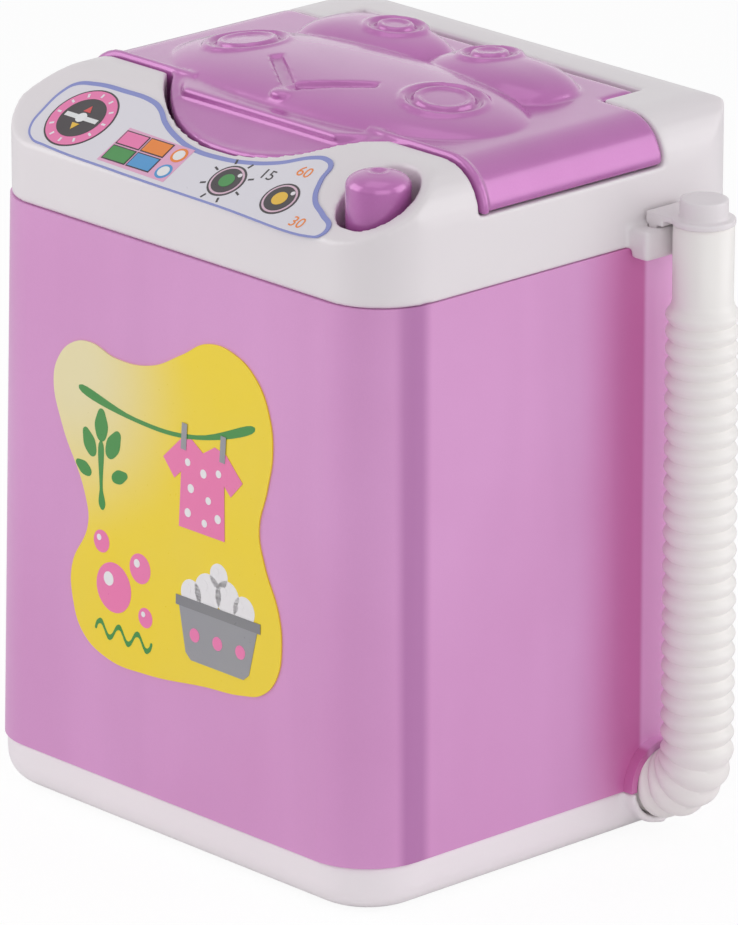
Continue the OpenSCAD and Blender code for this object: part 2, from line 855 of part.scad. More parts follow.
// Involute outline with its first tooth on the +X axis
function gear_outline(teeth) =
    let (rp = gear_module * teeth / 2, rb = rp * cos(pressure), tip = rp + 0.85 * gear_module,
        root = rp - 1.15 * gear_module, start = max(rb, root),
        half = 90 / teeth - backlash / 4 / rp * 180 / PI + inv(pressure),
        flank = [for (i = [0:3]) let (r = start + (tip - start) * i / 3) [r, half - inv(acos(rb / r))]])
    [for (k = [0:teeth - 1], p = concat([[root, -flank[0][1]]],
            [for (f = flank) [f[0], -f[1]]],
            [for (i = [3:-1:0]) flank[i]],
            [[root, flank[0][1]]]))
        let (a = 360 * k / teeth + p[1]) [p[0] * cos(a), p[0] * sin(a)]];

module drive_gear() color([0.95, 0.93, 0.85]) translate([0, tub_y, gear_z]) difference() {
    union() {
        rotate([0, 0, -90])
            linear_extrude(gear_h)
                polygon(gear_outline(drive_teeth));
        cylinder(r = gear_hub_r, h = hub_bottom - gear_z - 0.3);
    }
    translate([0, 0, -cut])
        cylinder(d = shaft_d, h = 3 * gear_h);
    for (i = [0:5])
        rotate([0, 0, 60 * i])
            translate([0.6 * drive_pitch_r, 0, -cut])
                cylinder(r = drive_pitch_r / 6, h = gear_h + 2 * cut);
}

module motor_pinion() color([0.85, 0.68, 0.3]) translate([0, motor_y, gear_z]) difference() {
    rotate([0, 0, 90 + 180 / pinion_teeth])
        linear_extrude(gear_h)
            polygon(gear_outline(pinion_teeth));
    translate([0, 0, -cut])
        cylinder(d = motor_shaft_d, h = gear_h + 2 * cut);
}

module pulsator_shaft() color([0.7, 0.7, 0.72])
    translate([0, tub_y, plate_z + 0.5])
        cylinder(d = shaft_d, h = shaft_top - plate_z - 0.5);

plate_screw_in = 6.8;
plate_head = [2.2, 1.4];
plate_r = post_ring_r + support_r + 0.4;
cradle_t = 1.5;
cradle_half = 4;
hook = 1.7;
motor_gap = 0.1;
arm_len = motor_len + motor_gap + hook;

module gear_plate() color([0.88, 0.88, 0.9]) difference() {
    union() {
        translate([0, tub_y, plate_z])
            cylinder(r = plate_r, h = plate_t);
        translate([-motor_w / 2 - cradle_t - 0.5, motor_y - motor_flat / 2 - cut, plate_z])
            cube([motor_w + 2 * cradle_t + 1, motor_flat, plate_t]);
        // Two hooked arms hold the motor from below
        for (s = [0, 1])
            mirror([s, 0, 0])
                translate([motor_w / 2 + motor_gap, motor_y - cradle_half, plate_z - arm_len]) {
                    cube([cradle_t, 2 * cradle_half, arm_len + eps]);
                    translate([-hook + motor_gap, 0, 0])
                        cube([hook, 2 * cradle_half, hook]);
                }
    }
    translate([0, 0, plate_z - cut]) {
        translate([0, tub_y, 0])
            cylinder(r = shaft_d / 2 + run_gap, h = plate_t + 2 * cut);
        translate([0, motor_y, 0])
            cylinder(r = motor_boss_r + motor_gap, h = plate_t + 2 * cut);
        translate([drain_x, hose_y, 0])
            cylinder(r = pipe_r + 0.6, h = plate_t + 2 * cut);
        at_supports()
            cylinder(r = screw_r + run_gap, h = plate_t + 2 * cut);
    }
}

module plate_screws() color([0.6, 0.6, 0.62]) at_supports() {
    translate([0, 0, plate_z - plate_head[1]])
        cylinder(r = plate_head[0], h = plate_head[1]);
    translate([0, 0, plate_z - eps])
        cylinder(r = screw_r, h = plate_t + plate_screw_in - 1.5);
}

motor_boss_r = 3;
motor_boss_h = 1.5;
motor_bore = 8;
motor_shaft_in = 7.5;

module motor_can() color([0.66, 0.67, 0.68]) translate([0, motor_y, plate_z - motor_len]) difference() {
    union() {
        intersection() {
            cylinder(d = motor_w, h = motor_len);
            translate([-motor_w / 2, -motor_flat / 2, 0])
                cube([motor_w, motor_flat, motor_len]);
        }
        cylinder(r = motor_boss_r, h = motor_len + motor_boss_h);
    }
    translate([0, 0, motor_len - motor_bore])
        cylinder(r = motor_shaft_d / 2 + run_gap, h = motor_bore + 2 * motor_boss_h);
}

module motor_shaft() color([0.72, 0.72, 0.74])
    translate([0, motor_y, plate_z - motor_shaft_in])
        cylinder(d = motor_shaft_d, h = gear_z + gear_h + 2 * seat_gap - plate_z + motor_shaft_in);

// ---- Button and switch ----
flange_z = well_top - 1.2;
block_top = well_bottom + block_t;
stem_r = 1.5;
stem_bottom = block_top + 0.1;
leaf_t = 0.4;
leaf_w = 2.8;
leaf_free = 2.2;             // how far a leaf reaches past the button's axis
leaf_end = 0.2;              // how far its fixed end stays inside its leg
upper_leaf_z = stem_bottom - button_travel - 0.15 - leaf_t;
lower_leaf_z = upper_leaf_z - 2.2;
leg_w = 1.5;
upper_leg_x = -5.7;
lower_leg_x = 4;
flange_t = 1;
button_coil_r = 3.4;
button_coil_wire = 0.3;
button_coil_turns = 5;

module power_button() color([0.68, 0.4, 0.66]) translate([button_at[0], button_at[1], 0]) {
    translate([0, 0, flange_z])
        cylinder(r = flange_r, h = flange_t);
    translate([0, 0, flange_z])
        cylinder(d = button_d, h = cap_top - button_d / 4 - flange_z);
    // Domed top with a small dimple
    difference() {
        intersection() {
            translate([0, 0, flange_z])
                cylinder(d = button_d, h = cap_top - flange_z);
            translate([0, 0, cap_top - ball_r(button_d / 2, button_d / 4)])
                sphere(ball_r(button_d / 2, button_d / 4));
        }
        translate([0, 0, cap_top + 1.4])
            sphere(2);
    }
    translate([0, 0, stem_bottom])
        cylinder(r = stem_r, h = flange_z - stem_bottom + eps);
}

module button_spring() color([0.7, 0.7, 0.72])
    translate([button_at[0], button_at[1], block_top])
        coil(button_coil_r, button_coil_wire, flange_z - block_top, button_coil_turns);

module switch_block() color([0.3, 0.3, 0.32]) difference() {
    translate([button_at[0], button_at[1], 0]) {
        translate([0, 0, well_bottom])
            cylinder(r = well_r, h = block_t);
        // Two legs that hold the contact leaves
        for (leg = [[upper_leg_x, upper_leaf_z - 1.2], [lower_leg_x, lower_leaf_z - 1.2]])
            translate([leg[0], -leaf_w / 2 - leaf_end, leg[1]])
                cube([leg_w, leaf_w + 2 * leaf_end, well_bottom - leg[1] + eps]);
    }
    translate([button_at[0], button_at[1], well_bottom - cut])
        cylinder(r = stem_r + 0.3, h = block_t + 2 * cut);
    upper_leaf();
    lower_leaf();
}

module upper_leaf() {
    x0 = upper_leg_x + leaf_end;
    translate([button_at[0] + x0, button_at[1] - leaf_w / 2, upper_leaf_z])
        cube([leaf_free - x0, leaf_w, leaf_t]);
}

module lower_leaf() {
    x1 = lower_leg_x + leg_w - leaf_end;
    translate([button_at[0] - leaf_free, button_at[1] - leaf_w / 2, lower_leaf_z])
        cube([leaf_free + x1, leaf_w, leaf_t]);
}

module switch_leaf_moving() color([0.8, 0.65, 0.35]) upper_leaf();
module switch_leaf_fixed() color([0.8, 0.65, 0.35]) lower_leaf();

// ---- Drain: rigid pipe, ribbed hose, hose end ----
hose_top = clip_z1 + 1.1;
straight_end = hose_rib_d;
cuff_r = 4.7;
bend_x = hose_x - hose_bend_r;
spigot_r = hose_bore_d / 2 * cos(22.5) - 0.1;
hose_start = bend_x - straight_end;
spigot_end = half_w - wall;

module drain_pipe() color([0.9, 0.9, 0.92]) difference() {
    union() {
        translate([drain_x, hose_y, inlet_z])
            cylinder(r = pipe_r, h = tub_floor - floor_thick - inlet_z);
        translate([drain_x, hose_y, inlet_z])
            sphere(pipe_r);
        inlet_cylinder(pipe_r, drain_x, hose_start);
        inlet_cylinder(spigot_r, drain_x, spigot_end);
    }
    translate([drain_x, hose_y, inlet_z])
        cylinder(r = drain_r, h = tub_floor);
    translate([drain_x, hose_y, inlet_z])
        sphere(drain_r);
    inlet_cylinder(drain_r, drain_x, spigot_end + cut);
}

bend_len = PI / 2 * hose_bend_r;
rib_end = hose_top - cuff_len;
rib_zone = bend_len + rib_end - inlet_z - hose_bend_r;
rib_pitch = rib_zone / hose_ribs;

// Centre line: along -X to +X, round the bend, then up. s is the length from the bend's start.
function hose_at(s) =
    s < 0 ? [bend_x + s, hose_y, inlet_z, 90] :
    s < bend_len ? let (a = s / hose_bend_r * 180 / PI)
        [bend_x + hose_bend_r * sin(a), hose_y, inlet_z + hose_bend_r * (1 - cos(a)), 90 - a] :
    [hose_x, hose_y, inlet_z + hose_bend_r + s - bend_len, 0];

// A ring of 8 points, square to the centre line
function hose_ring(s, r) =
    let (p = hose_at(s))
    [for (k = [0:7]) let (u = r * cos(45 * k + 22.5), v = r * sin(45 * k + 22.5))
        [p[0] + u * cos(p[3]), p[1] + v, p[2] - u * sin(p[3])]];

module drain_hose() color([0.92, 0.91, 0.88]) {
    rib_r = hose_rib_d / 2;
    root_r = hose_root_d / 2;
    top_s = rib_zone + cuff_len;
    outer = concat([[-straight_end, rib_r - 0.2], [-0.4, rib_r - 0.2]],
        [for (i = [0:hose_ribs - 1]) each [
            [(i + 0.25) * rib_pitch, root_r],
            [(i + 0.75) * rib_pitch, rib_r]]],
        [[rib_zone + 0.3, cuff_r], [top_s, cuff_r]]);
    inner = concat([[top_s, 0], [bend_len + 1, 0]],
        [for (i = [6:-1:0]) [bend_len * i / 6, 0]], [[-straight_end, 0]]);
    rings = concat([for (o = outer) hose_ring(o[0], o[1])],
        [for (n = inner) hose_ring(n[0], hose_bore_d / 2)]);
    count = len(rings);
    points = [for (r = rings) each r];
    faces = [for (i = [0:count - 1], k = [0:7])
        let (j = (i + 1) % count, m = (k + 1) % 8,
            a = 8 * i + k, b = 8 * i + m, c = 8 * j + k, d = 8 * j + m)
        each [[a, b, c], [b, d, c]]];
    // Least distance between stretches that lie more than two diameters apart along the hose
    line = [for (i = [0:40]) hose_at(-straight_end + (top_s + straight_end) * i / 40)];
    step = (top_s + straight_end) / 40;
    gap = min([for (i = [0:40], j = [i:40]) if ((j - i) * step > 2 * hose_rib_d)
        norm([for (q = [0:2]) line[i][q] - line[j][q]])]) - hose_rib_d;
    echo(hose_gap = gap);
    polyhedron(points, faces);
}

// Its arm reaches over the cuff to a tongue that sits in the clip's pocket
end_spigot = 9;
end_flange = [4.9, 1];
end_cap = [3.75, 4];
arm_z = clip_z1 + seat_gap;
arm_x = tongue_x - 0.6;

module hose_end() color([0.93, 0.92, 0.9]) {
    translate([hose_x, hose_y, 0]) {
        translate([0, 0, hose_top - end_spigot])
            cylinder(r = spigot_r, h = end_spigot + eps);
        translate([0, 0, hose_top])
            cylinder(r = end_flange[0], h = end_flange[1]);
        translate([0, 0, hose_top])
            cylinder(r = end_cap[0], h = end_cap[1]);
    }
    translate([arm_x, hose_y - tongue_half_w, arm_z])
        cube([hose_x - cuff_r - seat_gap - arm_x, 2 * tongue_half_w, hose_top + end_flange[1] - arm_z - eps]);
    translate([arm_x, hose_y - tongue_half_w, hose_top + eps])
        cube([hose_x - arm_x, 2 * tongue_half_w, end_flange[1] - 2 * eps]);
    translate([tongue_x, hose_y - tongue_half_w, clip_z0 + clip_floor + 0.4])
        cube([tongue_t, 2 * tongue_half_w, clip_z1 - clip_z0]);
}

// ---- Stickers ----
// A soft wavy blob on the leaning front
sticker_outline = [[-22.7, 68.7], [-26, 65.6], [-27.1, 61.7], [-25.1, 55.2], [-19.4, 45], [-18.6, 40.6],
    [-22.3, 32.7], [-22, 27.5], [-19.6, 22.6], [-14, 19.8], [-5, 19.5], [8.8, 21.1], [17.5, 22],
    [22, 23.4], [25, 27], [25.8, 32], [25, 37], [21.6, 44], [20.3, 49], [22, 56], [23, 62],
    [22, 67.8], [19, 72.6], [14, 75.4], [8, 75.6], [2.4, 72.6], [-4.6, 69.2], [-12.9, 68.4],
    [-18.7, 69.6]];

module front_sticker() color([0.95, 0.84, 0.3])
    translate([0, -body_d_bottom / 2, base_h])
        rotate([90 - lean_angle, 0, 0])
            linear_extrude(sticker_t)
                polygon(sticker_outline);

module panel_sticker() color([0.88, 0.88, 0.92])
    translate([0, slope_y0, slope_z0])
        rotate([panel_tilt, 0, 0])
            linear_extrude(sticker_t)
                polygon(concat(
                    arc(-32, 6, 5, 270, 170),
                    arc(-31, 10, 5.6, 180, 92),
                    [[-19.4, 15.6]],
                    arc(-1, 38, 29, 232, 306, 10),
                    [[21.4, 14.6]],
                    arc(button_x, 9, 11.5, 150, 215, 6),
                    arc(29, 2.4, 1.4, 20, -90, 4)));

// ---- Wires: round runs with ball corners ----
wire_r = 0.6;

module wire(points) {
    for (i = [0:len(points) - 2]) {
        a = points[i];
        b = points[i + 1];
        run = b - a;
        translate(a)
            rotate([0, acos(run[2] / norm(run)), atan2(run[1], run[0])])
                cylinder(r = wire_r, h = norm(run), $fn = 24);
        if (i > 0)
            translate(a)
                sphere(wire_r, $fn = 24);
    }
}

term_x = bay_half - contact_t / 2;
motor_front = motor_y - motor_flat / 2;
motor_back = motor_y + motor_flat / 2;
lead_z = tab_top + 6;        // height of the lead over the battery bay
back_z = tab_top + 3.5;      // height of the lead behind the motor
brush_x = 4;                 // the motor's two terminals lie this far from its axis
brush_z = plate_z - 12;
lower_end = button_x + leaf_free + 0.4;
upper_end = button_x - 3.4;

module wire_battery_switch() color([0.75, 0.1, 0.1])
    wire([[term_x, cell_rows[0], tab_top], [term_x, cell_rows[0], lead_z],
        [lower_end, cell_rows[0], lead_z], [lower_end, -button_y, lead_z],
        [lower_end, -button_y, lower_leaf_z]]);

module wire_switch_motor() color([0.9, 0.75, 0.1])
    wire([[upper_end, -button_y, upper_leaf_z], [upper_end, -button_y, brush_z],
        [-brush_x, -button_y, brush_z], [-brush_x, motor_front, brush_z]]);

module wire_motor_battery() color([0.1, 0.1, 0.1])
    wire([[brush_x, motor_back, back_z], [brush_x, motor_back + 3.5, back_z],
        [term_x, motor_back + 3.5, back_z], [term_x, cell_rows[1], back_z],
        [term_x, cell_rows[1], tab_top]]);

base_tray();
body_shell();
top_frame();
lid();
wash_tub();
pulsator();
pulsator_shaft();
shaft_seal();
drive_gear();
gear_plate();
motor_can();
motor_shaft();
motor_pinion();
battery_cell_front();
battery_cell_rear();
contact_bridge();
contact_terminals();
battery_springs();
battery_door();
power_button();
button_spring();
switch_block();
switch_leaf_moving();
switch_leaf_fixed();
drain_pipe();
drain_hose();
hose_end();
front_sticker();
panel_sticker();
case_screws();
plate_screws();
tub_screws();
wire_battery_switch();
wire_switch_motor();
wire_motor_battery();
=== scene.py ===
"""Toy washing machine: moulded detail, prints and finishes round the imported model. Lengths are metres."""

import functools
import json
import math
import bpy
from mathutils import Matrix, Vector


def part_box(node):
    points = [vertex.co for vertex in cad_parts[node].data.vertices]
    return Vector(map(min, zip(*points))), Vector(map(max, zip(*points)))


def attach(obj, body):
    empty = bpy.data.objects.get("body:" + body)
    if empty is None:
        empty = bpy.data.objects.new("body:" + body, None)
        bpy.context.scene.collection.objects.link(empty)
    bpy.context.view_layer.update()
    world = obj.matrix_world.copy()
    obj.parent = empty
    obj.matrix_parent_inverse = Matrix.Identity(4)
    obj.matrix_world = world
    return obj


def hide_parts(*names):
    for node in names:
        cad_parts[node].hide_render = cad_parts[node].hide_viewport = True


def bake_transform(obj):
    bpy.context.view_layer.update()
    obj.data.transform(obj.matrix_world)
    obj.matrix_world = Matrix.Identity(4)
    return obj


bl_info = {
    "name": "Toy washing machine",
    "version": (1, 0, 0),
    "blender": (4, 5, 0),
    "location": "3D View > Sidebar > Washer",
    "description": "Builds the visible pieces and finishes of a toy washing machine",
    "category": "Object",
}

import bpy
from mathutils import Matrix, Vector

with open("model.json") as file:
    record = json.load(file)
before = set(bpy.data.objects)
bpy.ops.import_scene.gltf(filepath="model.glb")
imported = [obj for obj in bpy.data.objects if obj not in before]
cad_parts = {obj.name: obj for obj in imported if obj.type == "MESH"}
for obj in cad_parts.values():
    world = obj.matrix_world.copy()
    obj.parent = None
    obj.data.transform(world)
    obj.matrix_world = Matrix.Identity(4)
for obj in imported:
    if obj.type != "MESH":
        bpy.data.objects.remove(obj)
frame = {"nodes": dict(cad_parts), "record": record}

MM = 0.001
SLOTS = {row["node"]: row["material_slot"] for row in frame["record"]["subparts"]}
LID_TOP = 0.115  # the lid's flat top, under its raised face
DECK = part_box("wash_tub")[1].z + 1.8 * MM  # floor of the lid's seat in the frame
LIP_CENTRE = Vector((0, 0.001, 0))  # the finger lip's round front is struck from here
LIP_R = 0.0308
LIP_GAP = 0.0009  # between the lip and its pocket in the frame
HOSE = Vector((0.054, 0.0195, 0.0085))  # the upright hose's axis, at the height of its inlet
LEAN = math.atan(2.65 / 88)  # the case's front leans out by 2.65 mm over its 88 mm of height
# Places of the prints: the foot of the case's front, and the lower edge of the tilted panel
FRONT = Matrix.Translation((0, -0.04215, 0.008)) @ Matrix.Rotation(math.pi / 2 - LEAN, 4, "X")
PANEL = Matrix.Translation((0, -0.0393, 0.1056)) @ Matrix.Rotation(math.radians(30), 4, "X")

GREY = (0.8, 0.8, 0.8, 1.0)
WHITE = (1.0, 1.0, 1.0, 1.0)
SIDE_START = (0.0425, 0.0448)  # the painted corner shade fades in over the case's rounded corner
HOSE_WALL = 0.0438  # past this the wall is the side with the hose
BANDS = {  # painted shade, shadow and light on the case's sides, from front to back in millimetres: where a band starts, is full, starts to fade and is gone
    "Painted corner shade": (-35.0, -33.0, -30.5, -28.0),
    "Painted hose shadow": (1.0, 14.5, 15.6, 16.8),
    "Painted glow": (15.6, 16.8, 24.0, 30.0),
}
TO_FADED_CORNER = (0.024, 0.041, -0.073)  # moves the label's upper corner to the origin


def colour(name, text, red, green, blue):
    """A colour property given as 0 to 255 screen values."""
    linear = [pow(v / 255, 2.2) for v in (red, green, blue)]
    return bpy.props.FloatVectorProperty(
        name=name, description=text, subtype="COLOR", size=3, min=0, max=1, default=linear)


def length(name, text, millimetres):
    """A length property given in millimetres."""
    return bpy.props.FloatProperty(
        name=name, description=text, unit="LENGTH", precision=5, min=0, default=millimetres * MM)


class WasherSizes(bpy.types.PropertyGroup):
    frame_mesh: length("Frame mesh", "Mesh size of the white top frame", 0.32)
    lid_mesh: length("Lid mesh", "Mesh size of the lid", 0.3)
    base_mesh: length("Base mesh", "Mesh size of the white base", 0.55)
    small_mesh: length("Small mesh", "Mesh size of the button and the hose end", 0.2)
    face_top: length("Face height", "Height of the raised face over the lid", 4.0)
    eye_r: length("Eye radius", "Radius of the rings on the face", 6.0)
    ear_ring_r: length("Ear ring radius", "Radius of the rings behind the face", 4.2)
    button_r: length("Button radius", "Radius of the push button", 5.0)
    rib_r: length("Rib radius", "Radius over the hose's ribs", 5.7)
    root_r: length("Root radius", "Radius between the hose's ribs", 4.95)
    cuff_r: length("Cuff radius", "Radius of the smooth top of the hose", 4.7)
    ribs: bpy.props.IntProperty(name="Ribs", description="Ribs on the hose", min=8, default=31)
    ink_t: length("Ink", "Step between the layers of a print", 0.035)


class WasherColours(bpy.types.PropertyGroup):
    body: colour("Body", "Pearly lilac of the case", 216, 151, 205)
    body_deep: colour("Body shade", "Deeper lilac where the case wall is thick", 198, 122, 178)
    # Painted shade on the sides just behind the case's rounded front corners
    painted_corner_shade: colour("Corner shade", "Painted shade on the sides just behind the case's rounded front corners", 178, 112, 170)
    # Painted shadow of the hose on the case's side, in front of it
    painted_hose_shadow: colour("Hose shadow", "Painted shadow of the hose on the case's side", 212, 116, 178)
    # Painted light on the case's side behind the hose, against the hose's shade there
    glow: colour("Painted glow", "Painted light on the case's side behind the hose", 240, 180, 228)
    lid: colour("Lid", "Pearly violet of the lid and the button", 184, 104, 174)
    white: colour("White", "Cool white of the frame", 233, 226, 229)
    # The frame's white, painted lighter on the base for the floor's light on it
    painted_lit_base_white: colour("Painted lit base white", "White of the base, painted lighter for the floor's light on it", 247, 240, 243)
    hose: colour("Hose", "Warm white of the hose", 248, 244, 241)
    yellow: colour("Yellow", "Yellow of the front label", 247, 216, 38)
    pale_yellow: colour("Pale yellow", "Faded corner of the front label", 236, 224, 178)
    green: colour("Green", "Green print", 52, 140, 60)
    pink: colour("Pink", "Pink print", 240, 120, 176)
    grey: colour("Grey", "Grey print", 150, 150, 156)
    outline: colour("Outline", "Blue edge of the panel print", 132, 140, 204)
    orange: colour("Orange", "Orange print", 240, 130, 30)
    blue: colour("Blue", "Blue print", 70, 150, 210)
    ink: colour("Ink", "Dark print", 34, 16, 26)


def sizes():
    return bpy.context.scene.washer_sizes


def shades():
    return bpy.context.scene.washer_colours


# ---- Modelling helpers ----

def pick(*objects):
    """Selects these objects alone, the last one active."""
    current = bpy.context.view_layer.objects.active
    if current and current.mode != "OBJECT":
        bpy.ops.object.mode_set(mode="OBJECT")
    bpy.ops.object.select_all(action="DESELECT")
    for obj in objects:
        obj.select_set(True)
    if objects:
        bpy.context.view_layer.objects.active = objects[-1]


def place(obj):
    """Puts an object's place, turn and scale into its mesh."""
    pick(obj)
    bpy.ops.object.transform_apply(location=True, rotation=True, scale=True)
    return obj


def modify(obj, kind, **settings):
    """Adds one modifier and applies it."""
    pick(obj)
    modifier = obj.modifiers.new(kind, kind)
    for name, value in settings.items():
        setattr(modifier, name, value)
    bpy.ops.object.modifier_apply(modifier=modifier.name)
    return obj


def join(base, *others):
    pick(*others, base)
    bpy.ops.object.join()
    return base


def edit_edges(obj, test):
    """Enters edit mode with only the edges selected whose two ends pass the test."""
    pick(obj)
    bpy.ops.object.mode_set(mode="EDIT")
    bpy.ops.mesh.select_mode(type="EDGE")
    bpy.ops.mesh.select_all(action="DESELECT")
    bpy.ops.object.mode_set(mode="OBJECT")
    for edge in obj.data.edges:
        edge.select = test(*(obj.data.vertices[v].co for v in edge.vertices))
    bpy.ops.object.mode_set(mode="EDIT")


def carve(obj, tool, operation="DIFFERENCE"):
    """Boolean of obj and tool, which is used up."""
    modify(obj, "BOOLEAN", object=tool, operation=operation, solver="EXACT")
    bpy.data.objects.remove(tool)
    return obj


def cylinder(at, r, height, around=48):
    """An upright cylinder that stands on the point `at`."""
    pick()
    bpy.ops.mesh.primitive_cylinder_add(vertices=around, radius=r, depth=height,
                                        location=at + Vector((0, 0, height / 2)))
    return place(bpy.context.object)


def ball(at, radii, around=64):
    """A ball or ellipsoid."""
    pick()
    bpy.ops.mesh.primitive_uv_sphere_add(segments=around, ring_count=around // 2, radius=1, location=at)
    bpy.context.object.scale = radii
    return place(bpy.context.object)


class Pillow:
    """A mound with a rounded-square plan, steep at its rim and flatter on top."""

    def __init__(self, at, half, rise, plan=2.0, profile=2.0):
        self.at, self.half, self.rise, self.plan, self.profile = Vector(at), half, rise, plan, profile

    def reach(self, x, y):
        """0 in the middle of the mound, 1 on its rim."""
        return (abs(x / self.half[0]) ** self.plan + abs(y / self.half[1]) ** self.plan) ** (1 / self.plan)

    def height(self, x, y):
        inside = max(0.0, 1 - self.reach(x - self.at.x, y - self.at.y) ** self.profile)
        return self.at.z + self.rise * inside ** (1 / self.profile)

    def spot(self, x, y):
        """Place and upward normal of the mound's skin over (x, y)."""
        step = 0.2 * MM
        slope_x = (self.height(x + step, y) - self.height(x - step, y)) / (2 * step)
        slope_y = (self.height(x, y + step) - self.height(x, y - step)) / (2 * step)
        return Vector((x, y, self.height(x, y))), Vector((-slope_x, -slope_y, 1)).normalized()

    def form(self, depth):
        """The mound as a closed mesh that goes `depth` below its rim."""
        obj = ball((0, 0, 0), (1, 1, 1), around=128)
        for vertex in obj.data.vertices:
            x, y, z = vertex.co
            r = math.hypot(x, y)
            out = r / max(self.reach(x * self.half[0], y * self.half[1]), 1e-9)
            up = max(0.0, 1 - r ** self.profile) ** (1 / self.profile)
            vertex.co = self.at + Vector((x * out * self.half[0], y * out * self.half[1],
                                          up * self.rise if z > 0 else -up * depth))
        return obj


def hoop(at, r, section, squeeze=1.0, normal=(0, 0, 1)):
    """A ring lying across `normal`, its section squeezed along it."""
    pick()
    bpy.ops.mesh.primitive_torus_add(major_radius=r, minor_radius=section, major_segments=64,
                                     minor_segments=16, location=at,
                                     rotation=Vector(normal).to_track_quat("Z", "Y").to_euler())
    bpy.context.object.scale = (1, 1, squeeze)
    return place(bpy.context.object)


def block(lowest, highest, corner=0.0):
    """A box between two corners, its upright edges rounded."""
    low, high = Vector(lowest), Vector(highest)
    pick()
    bpy.ops.mesh.primitive_cube_add(size=1, location=(low + high) / 2)
    obj = bpy.context.object
    obj.scale = high - low
    if corner:
        bpy.ops.object.transform_apply(location=False, rotation=False, scale=True)
        edit_edges(obj, lambda a, b: abs(a.x - b.x) < 1e-6 and abs(a.y - b.y) < 1e-6)
        bpy.ops.mesh.bevel(offset=corner, segments=24, affect="EDGES")
        bpy.ops.object.mode_set(mode="OBJECT")
    return place(obj)


def merged_copy(node):
    """A copy of a CAD node, its loose triangles merged."""
    obj = frame["nodes"][node].copy()
    obj.data = obj.data.copy()
    obj.parent = None
    for key in [k for k in obj.keys() if k.startswith("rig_")]:
        del obj[key]
    bpy.context.scene.collection.objects.link(obj)
    pick(obj)
    bpy.ops.mesh.customdata_custom_splitnormals_clear()
    bpy.ops.object.mode_set(mode="EDIT")
    bpy.ops.mesh.select_all(action="SELECT")
    bpy.ops.mesh.remove_doubles(threshold=1e-6)
    bpy.ops.object.mode_set(mode="OBJECT")
    return obj


def mould(obj, mesh_size, rounds, share):
    """Fuses overlapping forms into one skin, softens it in rounds and keeps a share of its mesh."""
    modify(obj, "REMESH", mode="VOXEL", voxel_size=mesh_size)
    modify(obj, "SMOOTH", factor=0.5, iterations=rounds)
    if share < 1:
        modify(obj, "DECIMATE", ratio=share)
        modify(obj, "SMOOTH", factor=0.5, iterations=2)
    pick(obj)
    bpy.ops.object.shade_smooth()
    return obj


def tube(points, r, round_r=0.0, around=6):
    """A round tube through points, its corners rounded."""
    mesh = bpy.data.meshes.new("path")
    edges = [(i, i + 1) for i in range(len(points) - 1)]
    mesh.from_pydata([tuple(p) for p in points], edges, [])
    obj = bpy.data.objects.new("path", mesh)
    bpy.context.scene.collection.objects.link(obj)
    pick(obj)
    if round_r:
        bpy.ops.object.mode_set(mode="EDIT")
        bpy.ops.mesh.select_all(action="SELECT")
        bpy.ops.mesh.bevel(offset=round_r, segments=6, affect="VERTICES")
        bpy.ops.object.mode_set(mode="OBJECT")
    bpy.ops.object.convert(target="CURVE")
    obj.data.bevel_depth = r
    obj.data.bevel_resolution = around
    obj.data.use_fill_caps = True
    bpy.ops.object.convert(target="MESH")
    pick(obj)
    bpy.ops.object.shade_smooth()
    return obj


def settle(obj, name, body, slot, node, paint=None):
    """Names a finished piece, gives it its finish and lets it ride on its body in the node's place."""
    obj.name = obj.data.name = name
    obj.data.materials.clear()
    obj.data.materials.append(finish(paint or slot))
    if body:
        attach(obj, body)
    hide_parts(node)
    return obj


# ---- Shader groups ----

def add(tree, kind, inputs=None, **settings):
    """One node; its inputs are set, or joined where a socket is given."""
    made = tree.nodes.new(kind)
    for name, value in settings.items():
        setattr(made, name, value)
    for name, value in (inputs or {}).items():
        if isinstance(value, bpy.types.NodeSocket):
            tree.links.new(value, made.inputs[name])
        else:
            made.inputs[name].default_value = value
    return made


def maths(tree, operation, *values):
    """The result of one sum on values or sockets."""
    return add(tree, "ShaderNodeMath", dict(enumerate(values)), operation=operation).outputs[0]


def ramp(tree, value, low, high, start=0.0, end=1.0, kind="LINEAR"):
    """Goes from start to end while value goes from low to high, and stays level past both."""
    ends = {"Value": value, "From Min": low, "From Max": high, "To Min": start, "To Max": end}
    return add(tree, "ShaderNodeMapRange", ends, interpolation_type=kind).outputs["Result"]


def mixed(tree, share, first, second):
    """The colour that lies `share` of the way from the first to the second."""
    made = add(tree, "ShaderNodeMix", {"Factor": share, "A": first, "B": second}, data_type="RGBA")
    return next(socket for socket in made.outputs if socket.type == "RGBA")


def object_place(tree):
    return add(tree, "ShaderNodeTexCoord").outputs["Object"]


def long_place(tree, squeeze):
    """The place squeezed along the upright, on which a pattern runs in long streaks."""
    inputs = {"Vector": object_place(tree), "Scale": (1.0, 1.0, squeeze)}
    return add(tree, "ShaderNodeMapping", inputs).outputs[0]


def noise(tree, where, scale, detail, distortion=0.0):
    inputs = {"Vector": where, "Scale": scale, "Detail": detail, "Distortion": distortion}
    return add(tree, "ShaderNodeTexNoise", inputs).outputs["Fac"]


def new_group(name, inputs, outputs):
    """An empty shader group: its tree, the inputs it is given and its ends. A tuple stands for a colour."""
    tree = bpy.data.node_groups.new(name, "ShaderNodeTree")
    for label in outputs:
        kind = "NodeSocketColor" if label == "Colour" else "NodeSocketFloat"
        tree.interface.new_socket(label, in_out="OUTPUT", socket_type=kind)
    for label, value in inputs.items():
        kind = "NodeSocketColor" if isinstance(value, tuple) else "NodeSocketFloat"
        tree.interface.new_socket(label, in_out="INPUT", socket_type=kind).default_value = value
    return tree, tree.nodes.new("NodeGroupInput").outputs, tree.nodes.new("NodeGroupOutput").inputs


def join_ends(tree, ends, results):
    """Joins each result to the end of that name."""
    for label, socket in results.items():
        tree.links.new(socket, ends[label])


